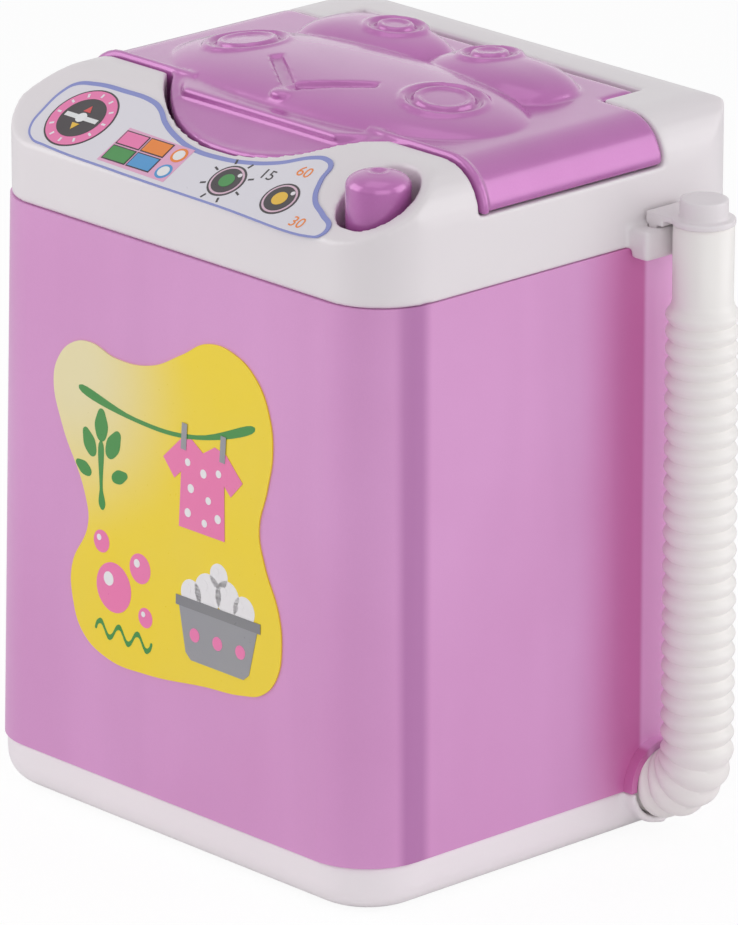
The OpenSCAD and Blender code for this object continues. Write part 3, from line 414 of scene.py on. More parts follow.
@functools.cache
def moulded_skin():
    """Soft clouds of a second tint, and the fine uneven gloss of a moulding."""
    tree, given, ends = new_group(
        "Moulded skin",
        {"Colour": GREY, "Tint": GREY, "Cloud scale": 30.0, "Cloud amount": 0.3, "Grain scale": 900.0,
         "Roughness": 0.35, "Spread": 0.1},
        ("Colour", "Roughness", "Height"))
    where = object_place(tree)
    cloud = noise(tree, where, given["Cloud scale"], 3.0)
    share = ramp(tree, cloud, 0.35, 0.65, 0.0, given["Cloud amount"])
    grain = noise(tree, where, given["Grain scale"], 4.0)
    centred = maths(tree, "SUBTRACT", grain, 0.5)
    join_ends(tree, ends, {
        "Colour": mixed(tree, share, given["Colour"], given["Tint"]),
        "Roughness": maths(tree, "MULTIPLY_ADD", centred, given["Spread"], given["Roughness"]),
        "Height": grain})
    return tree


@functools.cache
def pearl_flow():
    """Long soft streaks of pearl pigment along the upright, with fine flecks."""
    tree, given, ends = new_group(
        "Pearl flow", {"Colour": GREY, "Pearl": GREY, "Scale": 60.0, "Amount": 0.3}, ("Colour",))
    streak = noise(tree, long_place(tree, 0.12), given["Scale"], 2.0, distortion=0.6)
    fleck = noise(tree, object_place(tree), 4200.0, 1.0)
    both = maths(tree, "MULTIPLY_ADD", fleck, 0.35, streak)
    share = ramp(tree, both, 0.5, 0.95, 0.0, given["Amount"])
    join_ends(tree, ends, {"Colour": mixed(tree, share, given["Colour"], given["Pearl"])})
    return tree


@functools.cache
def drawn_metal():
    """Fine lines of drawn or turned metal along the upright, with a stain or two."""
    tree, given, ends = new_group(
        "Drawn metal", {"Colour": GREY, "Stain": GREY, "Roughness": 0.3}, ("Colour", "Roughness", "Height"))
    lines = noise(tree, long_place(tree, 0.05), 2600.0, 3.0)
    stain = noise(tree, object_place(tree), 220.0, 4.0)
    share = ramp(tree, stain, 0.5, 0.75, 0.0, 0.6)
    join_ends(tree, ends, {
        "Colour": mixed(tree, share, given["Colour"], given["Stain"]),
        "Roughness": maths(tree, "MULTIPLY_ADD", lines, 0.25, given["Roughness"]),
        "Height": lines})
    return tree


@functools.cache
def painted_side_shade_and_light():
    """Painted shade and light on the case's sides as soft bands: shade behind the front corners, the hose's
    shadow in front of it and a lighter patch behind it.
    """
    tree, given, ends = new_group(
        "Painted side shade and light", {"Colour": GREY, "Painted corner shade": GREY, "Painted hose shadow": GREY, "Painted glow": GREY}, ("Colour",))
    spot = add(tree, "ShaderNodeSeparateXYZ", {0: object_place(tree)}).outputs
    wide = maths(tree, "ABSOLUTE", spot["X"])
    on_side = ramp(tree, wide, *SIDE_START, kind="SMOOTHSTEP")
    by_hose = maths(tree, "GREATER_THAN", spot["X"], HOSE_WALL)
    shown = given["Colour"]
    # each band mixes painted shade or painted light into the case colour
    for label, where, share in (("Painted corner shade", on_side, 0.85), ("Painted hose shadow", by_hose, 0.9),
                                ("Painted glow", by_hose, 1.0)):
        start, full, fading, gone = (y * MM for y in BANDS[label])
        rise = ramp(tree, spot["Y"], start, full, kind="SMOOTHSTEP")
        fall = ramp(tree, spot["Y"], fading, gone, 1.0, 0.0, kind="SMOOTHSTEP")
        inside = maths(tree, "MULTIPLY", maths(tree, "MULTIPLY", rise, fall), where)
        shown = mixed(tree, maths(tree, "MULTIPLY", inside, share), shown, given[label])
    join_ends(tree, ends, {"Colour": shown})
    return tree


# ---- Finishes ----

def rgba(values):
    return (*values, 1.0)


def darker(values, share):
    return tuple(v * share for v in values)


def blank(name):
    """A new material: its tree and its shader."""
    made = bpy.data.materials.new(name)
    made.use_nodes = True
    return made, made.node_tree, made.node_tree.nodes["Principled BSDF"]


def use(tree, group, inputs):
    """Places a shader group in a material and returns its outputs."""
    return add(tree, "ShaderNodeGroup", inputs, node_tree=group).outputs


def dress(tree, shader, effect, bump, depth):
    """Joins a group's colour, roughness and relief to a shader."""
    relief = add(tree, "ShaderNodeBump", {"Strength": bump, "Distance": depth, "Height": effect["Height"]})
    join_ends(tree, shader.inputs, {"Base Color": effect["Colour"], "Roughness": effect["Roughness"],
                                    "Normal": relief.outputs["Normal"]})


def skin(tree, shader, base, tint, cloud=0.3, cloud_scale=30.0, grain_scale=900.0, rough=0.35,
         spread=0.12, bump=0.08):
    """Gives a shader the skin of a moulding. base is a colour or a socket."""
    effect = use(tree, moulded_skin(), {
        "Colour": base, "Tint": tint, "Cloud scale": cloud_scale, "Cloud amount": cloud,
        "Grain scale": grain_scale, "Roughness": rough, "Spread": spread})
    dress(tree, shader, effect, bump, 0.04 * MM)


def gloss(shader, coat=0.0, coat_rough=0.1, metallic=0.0):
    for label, value in (("Coat Weight", coat), ("Coat Roughness", coat_rough), ("Metallic", metallic),
                         ("IOR", 1.5)):
        shader.inputs[label].default_value = value


def plastic(name, base, tint, coat=0.2, **how):
    """Plain moulded plastic."""
    made, tree, shader = blank(name)
    skin(tree, shader, rgba(base), rgba(tint), **how)
    gloss(shader, coat, coat_rough=0.15)
    return made


def pearl(name, base, deep, amount, metallic, rough, coat):
    """Pearly moulded plastic: streaks of pearl over a cloudy lilac."""
    made, tree, shader = blank(name)
    brighter = rgba(min(1.0, v * 1.18 + 0.03) for v in base)
    flow = use(tree, pearl_flow(), {"Colour": rgba(base), "Pearl": brighter, "Amount": amount})
    skin(tree, shader, flow["Colour"], rgba(deep), cloud=0.22, cloud_scale=22.0, rough=rough, spread=0.1,
         bump=0.05)
    gloss(shader, coat, coat_rough=0.12, metallic=metallic)
    return made


def body_pearl():
    """The case: pearl as the lid's, with painted shade behind its front corners and the hose's painted shadow
    and painted light on its side.
    """
    c = shades()
    made = pearl("Case pearl", c.body, c.body_deep, amount=0.3, metallic=0.1, rough=0.4, coat=0.3)
    tree = made.node_tree
    base = tree.nodes["Principled BSDF"].inputs["Base Color"]
    banded = use(tree, painted_side_shade_and_light(), {
        "Colour": base.links[0].from_socket, "Painted corner shade": rgba(c.painted_corner_shade), "Painted hose shadow": rgba(c.painted_hose_shadow),
        "Painted glow": rgba(c.glow)})
    tree.links.new(banded["Colour"], base)
    return made


def printed(name, faded):
    """Glossy printed paper: its ink is the piece's own attribute, and its alpha says how much it fades."""
    made, tree, shader = blank(name)
    ink = add(tree, "ShaderNodeAttribute", attribute_name="ink").outputs
    centred = add(tree, "ShaderNodeMapping", {"Vector": object_place(tree), "Location": TO_FADED_CORNER})
    reach = add(tree, "ShaderNodeVectorMath", {0: centred.outputs[0]}, operation="LENGTH")
    near = ramp(tree, reach.outputs["Value"], 0.004, 0.03, 0.95, 0.0, kind="SMOOTHSTEP")
    share = maths(tree, "MULTIPLY", near, ink["Alpha"])
    skin(tree, shader, mixed(tree, share, ink["Color"], rgba(faded)), rgba(darker(faded, 0.8)), cloud=0.04,
         cloud_scale=60.0, grain_scale=1500.0, rough=0.3, bump=0.06)
    gloss(shader, coat=0.2, coat_rough=0.2)
    return made


def metal(name, base, stain):
    made, tree, shader = blank(name)
    effect = use(tree, drawn_metal(), {"Colour": rgba(base), "Stain": rgba(stain), "Roughness": 0.28})
    dress(tree, shader, effect, 0.15, 0.03 * MM)
    gloss(shader, metallic=1.0)
    return made


def cell_sleeve(name, positive):
    """A dark printed sleeve with a copper band at the positive end, and bare metal past it."""
    dark, copper, steel = (0.03, 0.035, 0.05, 1), (0.62, 0.3, 0.12, 1), (0.6, 0.6, 0.62, 1)
    made, tree, shader = blank(name)
    along = add(tree, "ShaderNodeSeparateXYZ", {0: object_place(tree)}).outputs["X"]
    outward = maths(tree, "MULTIPLY", along, positive)
    band = maths(tree, "GREATER_THAN", outward, 0.014)
    bare = maths(tree, "GREATER_THAN", outward, 0.0272)
    sleeve = mixed(tree, bare, mixed(tree, band, dark, copper), steel)
    skin(tree, shader, sleeve, (0.2, 0.2, 0.22, 1), cloud=0.08, rough=0.3, bump=0.04)
    tree.links.new(band, shader.inputs["Metallic"])
    return made


@functools.cache
def finish(name):
    """The material of that name, made when a piece first asks for it."""
    c = shades()
    recipes = {
        "white_plastic": lambda: plastic("White moulding", c.white, darker(c.white, 0.93), cloud=0.25,
                                         rough=0.33),
        # the base's white, painted lighter for the floor's light on it
        "painted_lit_base_plastic": lambda: plastic("Base moulding painted lighter", c.painted_lit_base_white, darker(c.painted_lit_base_white, 0.93),
                                        cloud=0.25, rough=0.33),
        "lilac_plastic": body_pearl,
        "lid_plastic": lambda: pearl("Lid pearl", c.lid, darker(c.lid, 0.72), amount=0.4, metallic=0.25,
                                     rough=0.24, coat=0.6),
        "tub_plastic": lambda: plastic("Tub moulding", (0.74, 0.74, 0.77), (0.66, 0.67, 0.72), rough=0.3),
        "gear_plastic": lambda: plastic("Gear moulding", (0.8, 0.76, 0.64), (0.7, 0.66, 0.52), rough=0.45),
        "black_plastic": lambda: plastic("Dark moulding", (0.05, 0.05, 0.055), (0.08, 0.08, 0.09),
                                         rough=0.5),
        "hose_plastic": lambda: plastic("Hose moulding", c.hose, darker(c.hose, 0.9), rough=0.38, coat=0.15),
        "steel": lambda: metal("Plated steel", (0.6, 0.61, 0.63), (0.42, 0.41, 0.4)),
        "brass": lambda: metal("Brass", (0.78, 0.58, 0.26), (0.5, 0.34, 0.14)),
        "rubber": lambda: plastic("Rubber", (0.03, 0.03, 0.03), (0.05, 0.05, 0.05), rough=0.7, bump=0.3,
                                  coat=0.0),
        "cell_front": lambda: cell_sleeve("Cell sleeve front", 1.0),
        "cell_rear": lambda: cell_sleeve("Cell sleeve rear", -1.0),
        "sticker": lambda: printed("Printed label", c.pale_yellow),
        "panel_print": lambda: printed("Printed panel", (0.8, 0.8, 0.86)),
        "wire_red": lambda: plastic("Red sleeve", (0.55, 0.04, 0.03), (0.4, 0.02, 0.02), rough=0.45),
        "wire_yellow": lambda: plastic("Yellow sleeve", (0.75, 0.5, 0.04), (0.6, 0.38, 0.03), rough=0.45),
        "wire_black": lambda: plastic("Black sleeve", (0.03, 0.03, 0.035), (0.06, 0.06, 0.06), rough=0.45),
    }
    return recipes[name]()


# ---- Prints ----

class Print:
    """A printed sheet: shapes of ink, level over level, on a thicker base. Places on it are millimetres."""

    def __init__(self, sheet, outline, base, values, fade=0.0):
        self.sheet = sheet
        self.shapes = [self.shape(outline, 0, values, thick=base, fade=fade)]
        self.top = base / sizes().ink_t

    def shape(self, outline, level, values, smooth=True, inset=0.0, thick=None, fade=0.0):
        """A closed flat shape in one ink."""
        thick = thick or sizes().ink_t
        curve = bpy.data.curves.new("ink", "CURVE")
        curve.dimensions = "2D"
        curve.fill_mode = "BOTH"
        curve.extrude = thick / 2
        curve.offset = -inset * MM
        curve.resolution_u = 8
        if smooth:
            spline = curve.splines.new("BEZIER")
            spline.bezier_points.add(len(outline) - 1)
            for point, (x, y) in zip(spline.bezier_points, outline):
                point.co = (x * MM, y * MM, 0)
                point.handle_left_type = point.handle_right_type = "AUTO"
        else:
            spline = curve.splines.new("POLY")
            spline.points.add(len(outline) - 1)
            for point, (x, y) in zip(spline.points, outline):
                point.co = (x * MM, y * MM, 0, 1)
        spline.use_cyclic_u = True
        obj = bpy.data.objects.new("ink", curve)
        bpy.context.scene.collection.objects.link(obj)
        return self.inked(obj, level, values, thick, fade=fade)

    def inked(self, obj, level, values, thick, x=0.0, y=0.0, fade=0.0):
        """Makes a flat curve or text a mesh, lays it on the sheet and stores its ink on its faces."""
        pick(obj)
        bpy.ops.object.convert(target="MESH")
        obj = bpy.context.object
        up = level * sizes().ink_t + thick / 2
        obj.matrix_world = self.sheet @ Matrix.Translation((x * MM, y * MM, up))
        place(obj)
        layer = obj.data.attributes.new("ink", "FLOAT_COLOR", "CORNER")
        for item in layer.data:
            item.color = (*values, fade)
        return obj

    def draw(self, points, level, values, smooth=True, inset=0.0):
        self.shapes.append(self.shape(points, self.top + level, values, smooth, inset))

    def disc(self, x, y, r, level, values, count=16):
        angles = [2 * math.pi * i / count for i in range(count)]
        self.draw([(x + r * math.cos(a), y + r * math.sin(a)) for a in angles], level, values)

    def bar(self, x0, y0, x1, y1, w, level, values):
        """A straight stroke."""
        along = Vector((x1 - x0, y1 - y0)).normalized() * w / 2
        side = Vector((-along.y, along.x))
        self.draw([(x0 + side.x, y0 + side.y), (x0 - side.x, y0 - side.y),
                   (x1 - side.x, y1 - side.y), (x1 + side.x, y1 + side.y)], level, values, smooth=False)

    def ticks(self, x, y, count, first, inner, outer, w, level, values):
        """Short strokes round a dial, the first one at an angle in degrees."""
        for i in range(count):
            a = math.radians(first + 360 / count * i)
            out = Vector((math.cos(a), math.sin(a)))
            self.bar(x + inner * out.x, y + inner * out.y, x + outer * out.x, y + outer * out.y, w, level,
                     values)

    def number(self, text, x, y, height, level, values):
        """A plain printed number, centred on its place."""
        pick()
        bpy.ops.object.text_add()
        obj = bpy.context.object
        obj.data.body = text
        obj.data.size = height * MM
        obj.data.extrude = sizes().ink_t / 2
        obj.data.align_x = "CENTER"
        obj.data.align_y = "CENTER"
        self.shapes.append(self.inked(obj, self.top + level, values, sizes().ink_t, x, y))

    def whole(self):
        return join(self.shapes[0], *self.shapes[1:])


# ---- Pieces ----

class PieceOperator:
    bl_options = {"REGISTER", "UNDO"}

    def execute(self, context):
        self.build()
        return {"FINISHED"}


def towards(azimuth, elevation):
    """The way from the toy to a place at these angles in degrees; azimuth 0 is straight in front."""
    a, e = math.radians(azimuth), math.radians(elevation)
    return Vector((math.sin(a) * math.cos(e), -math.cos(a) * math.cos(e), math.sin(e)))


def looking(way):
    """Turns a camera or a lamp that stands that way back towards the toy."""
    return (-way).to_track_quat("-Z", "Y").to_euler()


class WASHER_OT_camera(PieceOperator, bpy.types.Operator):
    """Camera at the photograph's viewing angle"""
    bl_idname = "washer.camera"
    bl_label = "Camera"

    target = Vector((-0.000375, 0.001012, 0.05314))
    distance = 1.3142

    def build(self):
        way = towards(47.121, 18.747)
        pick()
        bpy.ops.object.camera_add(location=self.target + way * self.distance, rotation=looking(way))
        camera = bpy.context.object
        camera.name = "Photo_camera"
        camera.data.lens = 328.3
        camera.data.sensor_width = 36.0
        camera.data.clip_start = 0.05
        camera.data.clip_end = 20.0
        bpy.context.scene.camera = camera


class WASHER_OT_stage(PieceOperator, bpy.types.Operator):
    """Pale floor, soft lamps and an even white surround"""
    bl_idname = "washer.stage"
    bl_label = "Stage"

    lamps = (  # name, azimuth, elevation, distance, size, watts
        ("Front_softbox", -42, 22, 0.62, 0.5, 1.25),
        ("Side_softbox", 130, 18, 0.62, 0.5, 1.1),
        ("Top_softbox", 20, 82, 0.7, 0.55, 0.5),
        ("Fill_softbox", 62, 8, 0.9, 0.8, 1.8),
    )
    lamp_target = Vector((0, 0, 0.06))
    floor_glow = 0.88  # share of the floor's look that is plain white; the rest shows the shadow
    even_light = 0.44

    def build(self):
        pick()
        bpy.ops.mesh.primitive_plane_add(size=6, location=(0, 0, 0))
        floor = bpy.context.object
        floor.name = "Floor"
        floor.data.materials.append(self.floor_paint())
        for name, azimuth, elevation, distance, size, watts in self.lamps:
            way = towards(azimuth, elevation)
            pick()
            bpy.ops.object.light_add(type="AREA", location=self.lamp_target + way * distance,
                                     rotation=looking(way))
            lamp = bpy.context.object
            lamp.name = name
            lamp.data.shape = "RECTANGLE"
            lamp.data.size = lamp.data.size_y = size
            lamp.data.energy = watts
        self.surround()
        bpy.context.scene.view_settings.view_transform = "Standard"

    def floor_paint(self):
        """Matt white that keeps a faint shadow and meets the white surround."""
        made, tree, shader = blank("Floor paint")
        skin(tree, shader, (0.96, 0.96, 0.96, 1), (0.94, 0.94, 0.94, 1), rough=0.8, bump=0.0)
        seen = add(tree, "ShaderNodeLightPath").outputs["Is Camera Ray"]
        share = maths(tree, "MULTIPLY", seen, self.floor_glow)
        glow = add(tree, "ShaderNodeEmission", {"Color": WHITE, "Strength": 1.03})
        both = add(tree, "ShaderNodeMixShader", {0: share, 1: shader.outputs[0], 2: glow.outputs[0]})
        tree.links.new(both.outputs[0], tree.nodes["Material Output"].inputs["Surface"])
        return made

    def surround(self):
        """World: an even grey light, and pure white where it is looked at or mirrored."""
        world = bpy.data.worlds.new("Surround")
        bpy.context.scene.world = world
        world.use_nodes = True
        tree = world.node_tree
        path = add(tree, "ShaderNodeLightPath").outputs
        light = tree.nodes["Background"]
        light.inputs["Color"].default_value = (0.97, 0.98, 1.0, 1)
        light.inputs["Strength"].default_value = self.even_light
        white = add(tree, "ShaderNodeBackground", {"Color": WHITE, "Strength": 1.0})
        seen = maths(tree, "MAXIMUM", path["Is Camera Ray"], path["Is Glossy Ray"])
        both = add(tree, "ShaderNodeMixShader", {0: seen, 1: light.outputs[0], 2: white.outputs[0]})
        tree.links.new(both.outputs[0], tree.nodes["World Output"].inputs["Surface"])


class WASHER_OT_hose(PieceOperator, bpy.types.Operator):
    """Ribbed drain hose with a smooth cuff"""
    bl_idname = "washer.hose"
    bl_label = "Drain hose"

    around = 64
    rib_steps = 8
    bend_r = 8 * MM
    wall = 0.9 * MM

    def build(self):
        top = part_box("drain_hose")[1].z
        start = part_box("drain_hose")[0].x
        cuff = 13 * MM
        bend_start = HOSE.x - self.bend_r
        bend_len = math.pi / 2 * self.bend_r
        rib_zone = bend_len + top - cuff - HOSE.z - self.bend_r
        lead = bend_start - start
        ribs = sizes().ribs
        pitch = rib_zone / ribs
        rib = self.one_rib(pitch)
        modify(rib, "ARRAY", count=ribs, use_relative_offset=False, use_constant_offset=True,
               constant_offset_displace=(pitch, 0, 0), use_merge_vertices=True, merge_threshold=1e-6)
        plug_r, cuff_r = sizes().root_r + 0.4 * MM, sizes().cuff_r
        self.stretch_end(rib, 0.0, [(-0.4 * MM, plug_r), (-lead, plug_r)])
        self.stretch_end(rib, rib_zone, [(rib_zone + 0.5 * MM, cuff_r + 0.1 * MM),
                                         (rib_zone + 1.0 * MM, cuff_r),
                                         (rib_zone + cuff - 0.4 * MM, cuff_r),
                                         (rib_zone + cuff, cuff_r - 0.35 * MM)])
        self.bend(rib, bend_start, bend_len)
        modify(rib, "SOLIDIFY", thickness=self.wall, offset=-1.0)
        pick(rib)
        bpy.ops.object.shade_smooth_by_angle(angle=math.radians(50))
        hose = settle(rib, "ribbed_hose", None, "hose_plastic", "drain_hose")
        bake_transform(hose)

    def one_rib(self, pitch):
        """An open ring of hose, its round rib in the middle, along X."""
        root, rib = sizes().root_r, sizes().rib_r
        pick()
        bpy.ops.mesh.primitive_cylinder_add(vertices=self.around, radius=root, depth=pitch,
                                            end_fill_type="NOTHING", rotation=(0, math.pi / 2, 0),
                                            location=(pitch / 2, 0, 0))
        ring = place(bpy.context.object)
        edit_edges(ring, lambda a, b: abs(a.x - b.x) > pitch / 2)
        bpy.ops.mesh.subdivide(number_cuts=self.rib_steps - 1)
        bpy.ops.object.mode_set(mode="OBJECT")
        for vertex in ring.data.vertices:
            share = abs(2 * vertex.co.x / pitch - 1)
            r = root + (rib - root) * max(0.0, math.cos(math.pi / 2 * share)) ** 1.1
            flat = Vector((0, vertex.co.y, vertex.co.z)).normalized() * r
            vertex.co = (vertex.co.x, flat.y, flat.z)
        return ring

    def stretch_end(self, obj, x, steps):
        """Extrudes the open end at x through rings of (x, radius)."""
        for next_x, r in steps:
            edit_edges(obj, lambda a, b: abs(a.x - x) < 1e-6 and abs(b.x - x) < 1e-6)
            bpy.ops.mesh.extrude_edges_move(TRANSFORM_OT_translate={"value": (next_x - x, 0, 0)})
            bpy.ops.object.mode_set(mode="OBJECT")
            for vertex in obj.data.vertices:
                if abs(vertex.co.x - next_x) < 1e-6:
                    flat = Vector((0, vertex.co.y, vertex.co.z)).normalized() * r
                    vertex.co = (next_x, flat.y, flat.z)
            x = next_x

    def bend(self, obj, bend_start, bend_len):
        """Lays the straight hose along its centre line: level, round the bend, then up."""
        for vertex in obj.data.vertices:
            s, side, up = vertex.co
            angle = min(max(s, 0.0), bend_len) / self.bend_r
            past = max(0.0, s - bend_len)
            centre = Vector((bend_start + min(s, 0.0) + self.bend_r * math.sin(angle), HOSE.y,
                             HOSE.z + self.bend_r * (1 - math.cos(angle)) + past))
            vertex.co = centre + Vector((-up * math.sin(angle), side, up * math.cos(angle)))


class WASHER_OT_base(PieceOperator, bpy.types.Operator):
    """White base tray with soft moulded edges"""
    bl_idname = "washer.base"
    bl_label = "Base"

    def build(self):
        tray = mould(merged_copy("base_tray"), sizes().base_mesh, rounds=3, share=0.4)
        # its finish is the frame's white painted lighter
        settle(tray, "base_moulding", "case", "white_plastic", "base_tray", paint="painted_lit_base_plastic")


class WASHER_OT_frame(PieceOperator, bpy.types.Operator):
    """White top frame with soft moulded edges"""
    bl_idname = "washer.frame"
    bl_label = "Top frame"

    def build(self):
        cover = merged_copy("top_frame")
        pocket = cylinder(LIP_CENTRE + Vector((0, 0, DECK)), LIP_R + LIP_GAP, 20 * MM, around=192)
        carve(pocket, block((-0.04, -0.04, DECK - MM), (0.04, -0.0175, DECK + 0.03)), "INTERSECT")
        carve(cover, pocket)
        mould(cover, sizes().frame_mesh, rounds=14, share=0.25)
        settle(cover, "frame_moulding", "case", "white_plastic", "top_frame")


class WASHER_OT_lid(PieceOperator, bpy.types.Operator):
    """Lid with its finger lip, edge beads and raised animal face"""
    bl_idname = "washer.lid"
    bl_label = "Lid"

    half_w = 44.8 * MM
    front = -18 * MM
    rear = 20 * MM
    shoulder = 7.5 * MM
    skin_t = 1.4 * MM
    rim = LID_TOP - 1.5 * MM  # height of the mounds' widest section
    root = 0.3 * MM  # how far the mounds go below it
    face_y = -3.6 * MM
    face_half = (36 * MM, 16.4 * MM)
    ear = Vector((14 * MM, 14.9 * MM))
    ear_half = (14.4 * MM, 9.1 * MM)
    ear_spot = Vector((10.6 * MM, 16.2 * MM))
    eye = Vector((22.2 * MM, -4.4 * MM))
    fold_reach = 11.5 * MM
    bead_r = 0.75 * MM
    lip_foot = Vector((0, -17.5 * MM, LID_TOP))
    lip_slope = 0.387
    lip_t = 1.8 * MM
    lip_arc = 53  # degrees of the round front to either side of its middle
    rim_steps = 32
    brow = ((-25, -16.6, 114.7), (-20, -19.0, 114.3), (-10, -20.7, 113.6), (0, -21.2, 113.4),
            (10, -20.7, 113.6), (20, -19.2, 114.2), (29, -17.4, 114.6))

    def build(self):
        lid = merged_copy("lid")
        top = LID_TOP + 0.03 * MM
        carve(lid, block((-0.06, -0.05, top), (0.06, 0.05, top + 0.01)))
        join(lid, self.saddle(), *self.lip())
        mould(lid, 1.3 * sizes().lid_mesh, rounds=10, share=1.0)
        join(lid, self.face_form(), *self.ears(), *self.beads())
        mould(lid, sizes().lid_mesh, rounds=4, share=0.55)
        settle(lid, "lid_moulding", "lid", "lid_plastic", "lid")

    def arch(self, inset):
        """The lid's rolled shoulders as one arch from side to side, moved in by `inset`."""
        high, reach = LID_TOP - inset, self.shoulder - inset
        form = block((-self.half_w + inset, high - 4 * reach, -self.rear - inset),
                     (self.half_w - inset, high, -self.front + inset), corner=reach)
        form.matrix_world = Matrix.Rotation(math.pi / 2, 4, "X")
        return place(form)

    def saddle(self):
        """Skin of the lid's top and rolled shoulders."""
        shell = carve(self.arch(0.0), self.arch(self.skin_t))
        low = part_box("lid")[0].z
        return carve(shell, block((-0.06, -0.06, low - 0.05), (0.06, 0.06, low + 0.1 * MM)))

    def lip(self):
        """Finger lip: a sloping tab with a round front and a beaded rim."""
        foot = self.lip_foot
        slab = block((-0.032, -0.034, -self.lip_t), (0.032, 0.001, 0))
        slab.matrix_world = Matrix.Translation(foot) @ Matrix.Rotation(math.atan(self.lip_slope), 4, "X")
        round_front = cylinder(LIP_CENTRE + Vector((0, 0, 0.1)), LIP_R, 0.03, around=192)
        carve(place(slab), round_front, "INTERSECT")
        rim = []
        for i in range(self.rim_steps + 1):
            a = math.radians(self.lip_arc * (2 * i / self.rim_steps - 1))
            at = LIP_CENTRE + (LIP_R - 0.45 * MM) * Vector((math.sin(a), -math.cos(a), 0))
            at.z = LID_TOP + self.lip_slope * (at.y - foot.y) - 0.1 * MM
            rim.append(at)
        return [slab, tube(rim, 0.5 * MM)]

    def face_form(self):
        """The raised face with its ringed eyes, folds and nose."""
        top = LID_TOP + sizes().face_top - self.rim
        face = Pillow((0, self.face_y, self.rim), self.face_half, top, plan=2.3, profile=2.3)
        form = face.form(self.root)
        forms = []
        for side in (-1, 1):
            forms += self.ringed(form, *face.spot(side * self.eye.x, self.eye.y), sizes().eye_r)
            self.fold(form, face, side)
        nose = face.spot(0, -17.6 * MM)[0]
        forms.append(ball(nose, (1.9 * MM, 1.6 * MM, 0.75 * MM)))
        return join(form, *forms)

    def ringed(self, form, at, normal, r):
        """Sinks a round groove and returns the soft rims to either side of it."""
        carve(form, hoop(at + 0.2 * MM * normal, r - 0.6 * MM, 0.95 * MM, 0.85, normal))
        return [hoop(at - 0.25 * MM * normal, r + 0.5 * MM, 0.6 * MM, 0.7, normal),
                hoop(at - 0.1 * MM * normal, r - 1.8 * MM, 0.6 * MM, 0.8, normal)]

    def fold(self, form, face, side):
        """Sinks one slot of the muzzle's fold, from beside the nose up and outwards."""
        half, sink = 1.05 * MM, 0.65 * MM
        start = Vector((side * 0.8 * MM, -15.4 * MM))
        end = Vector((side * self.fold_reach, -8.2 * MM))
        turn = math.atan2(end.y - start.y, end.x - start.x)
        low, high = (face.height(*spot) - sink for spot in (start, end))
        tilt = -math.atan2(high - low, (end - start).length)
        slot = block((0, -half, 0), ((end - start).length, half, 6 * MM))
        slot.matrix_world = (Matrix.Translation((start.x, start.y, low)) @ Matrix.Rotation(turn, 4, "Z")
                             @ Matrix.Rotation(tilt, 4, "Y"))
        carve(form, place(slot))

    def ears(self):
        """Two mounds behind the face, each with a ring."""
        forms = []
        for side in (-1, 1):
            top = LID_TOP + 4 * MM - self.rim
            mound = Pillow((side * self.ear.x, self.ear.y, self.rim), self.ear_half, top, plan=2.5,
                           profile=2.4)
            ear = mound.form(self.root)
            forms += self.ringed(ear, *mound.spot(side * self.ear_spot.x, self.ear_spot.y),
                                 sizes().ear_ring_r)
            forms.append(ear)
        return forms

    def beads(self):
        """A round bead down each side of the lid's front edge, and one between face and finger lip."""
        y, r = -17.2 * MM, self.shoulder
        edge = self.half_w - self.bead_r * 0.4
        brow = [Vector((x * MM, y * MM, z * MM)) for x, y, z in self.brow]
        forms = [tube(brow, 0.5 * MM, round_r=3 * MM)]
        for side in (-1, 1):
            path = [(side * 0.0195, y, LID_TOP)]
            for i in range(9):
                a = math.pi / 2 * (1 - i / 8)
                path.append((side * (edge - r + r * math.cos(a)), y, LID_TOP - r + r * math.sin(a)))
            forms.append(tube(path, self.bead_r))
        return forms


def button_axis(z):
    """The point at height z on the button's axis."""
    return Vector((0.0352, -0.0301, z))


class WASHER_OT_button(PieceOperator, bpy.types.Operator):
    """Round-nosed push button on its flange and stem"""
    bl_idname = "washer.button"
    bl_label = "Button"

    flange_z = 103.6 * MM
    flange_t = 1.0 * MM
    stem_r = 1.5 * MM
    dimple_r = 1.7 * MM

    def build(self):
        low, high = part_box("power_button")
        r = sizes().button_r
        nose_h = 0.5 * r
        shoulder = high.z - nose_h
        top = Pillow(button_axis(shoulder), (r, r), nose_h, profile=2.4).form(0.2 * MM)
        body = cylinder(button_axis(self.flange_z), r, shoulder - self.flange_z)
        flange = cylinder(button_axis(self.flange_z), (high.x - low.x) / 2, self.flange_t)
        stem = cylinder(button_axis(low.z), self.stem_r, self.flange_z - low.z + 0.1 * MM)
        carve(top, ball(button_axis(high.z + 0.8 * MM), (self.dimple_r, self.dimple_r, 1.3 * MM)))
        join(body, top, flange, stem, hoop(button_axis(high.z - 0.3 * MM), self.dimple_r, 0.32 * MM))
        mould(body, sizes().small_mesh, rounds=3, share=0.6)
        settle(body, "push_button", "button", "lid_plastic", "power_button")


class WASHER_OT_hose_end(PieceOperator, bpy.types.Operator):
    """Hose end with its arm and tongue, edges softened"""
    bl_idname = "washer.hose_end"
    bl_label = "Hose end"

    def build(self):
        end = mould(merged_copy("hose_end"), sizes().small_mesh, rounds=4, share=0.6)
        settle(end, "hose_end_moulding", "hose_end", "white_plastic", "hose_end")


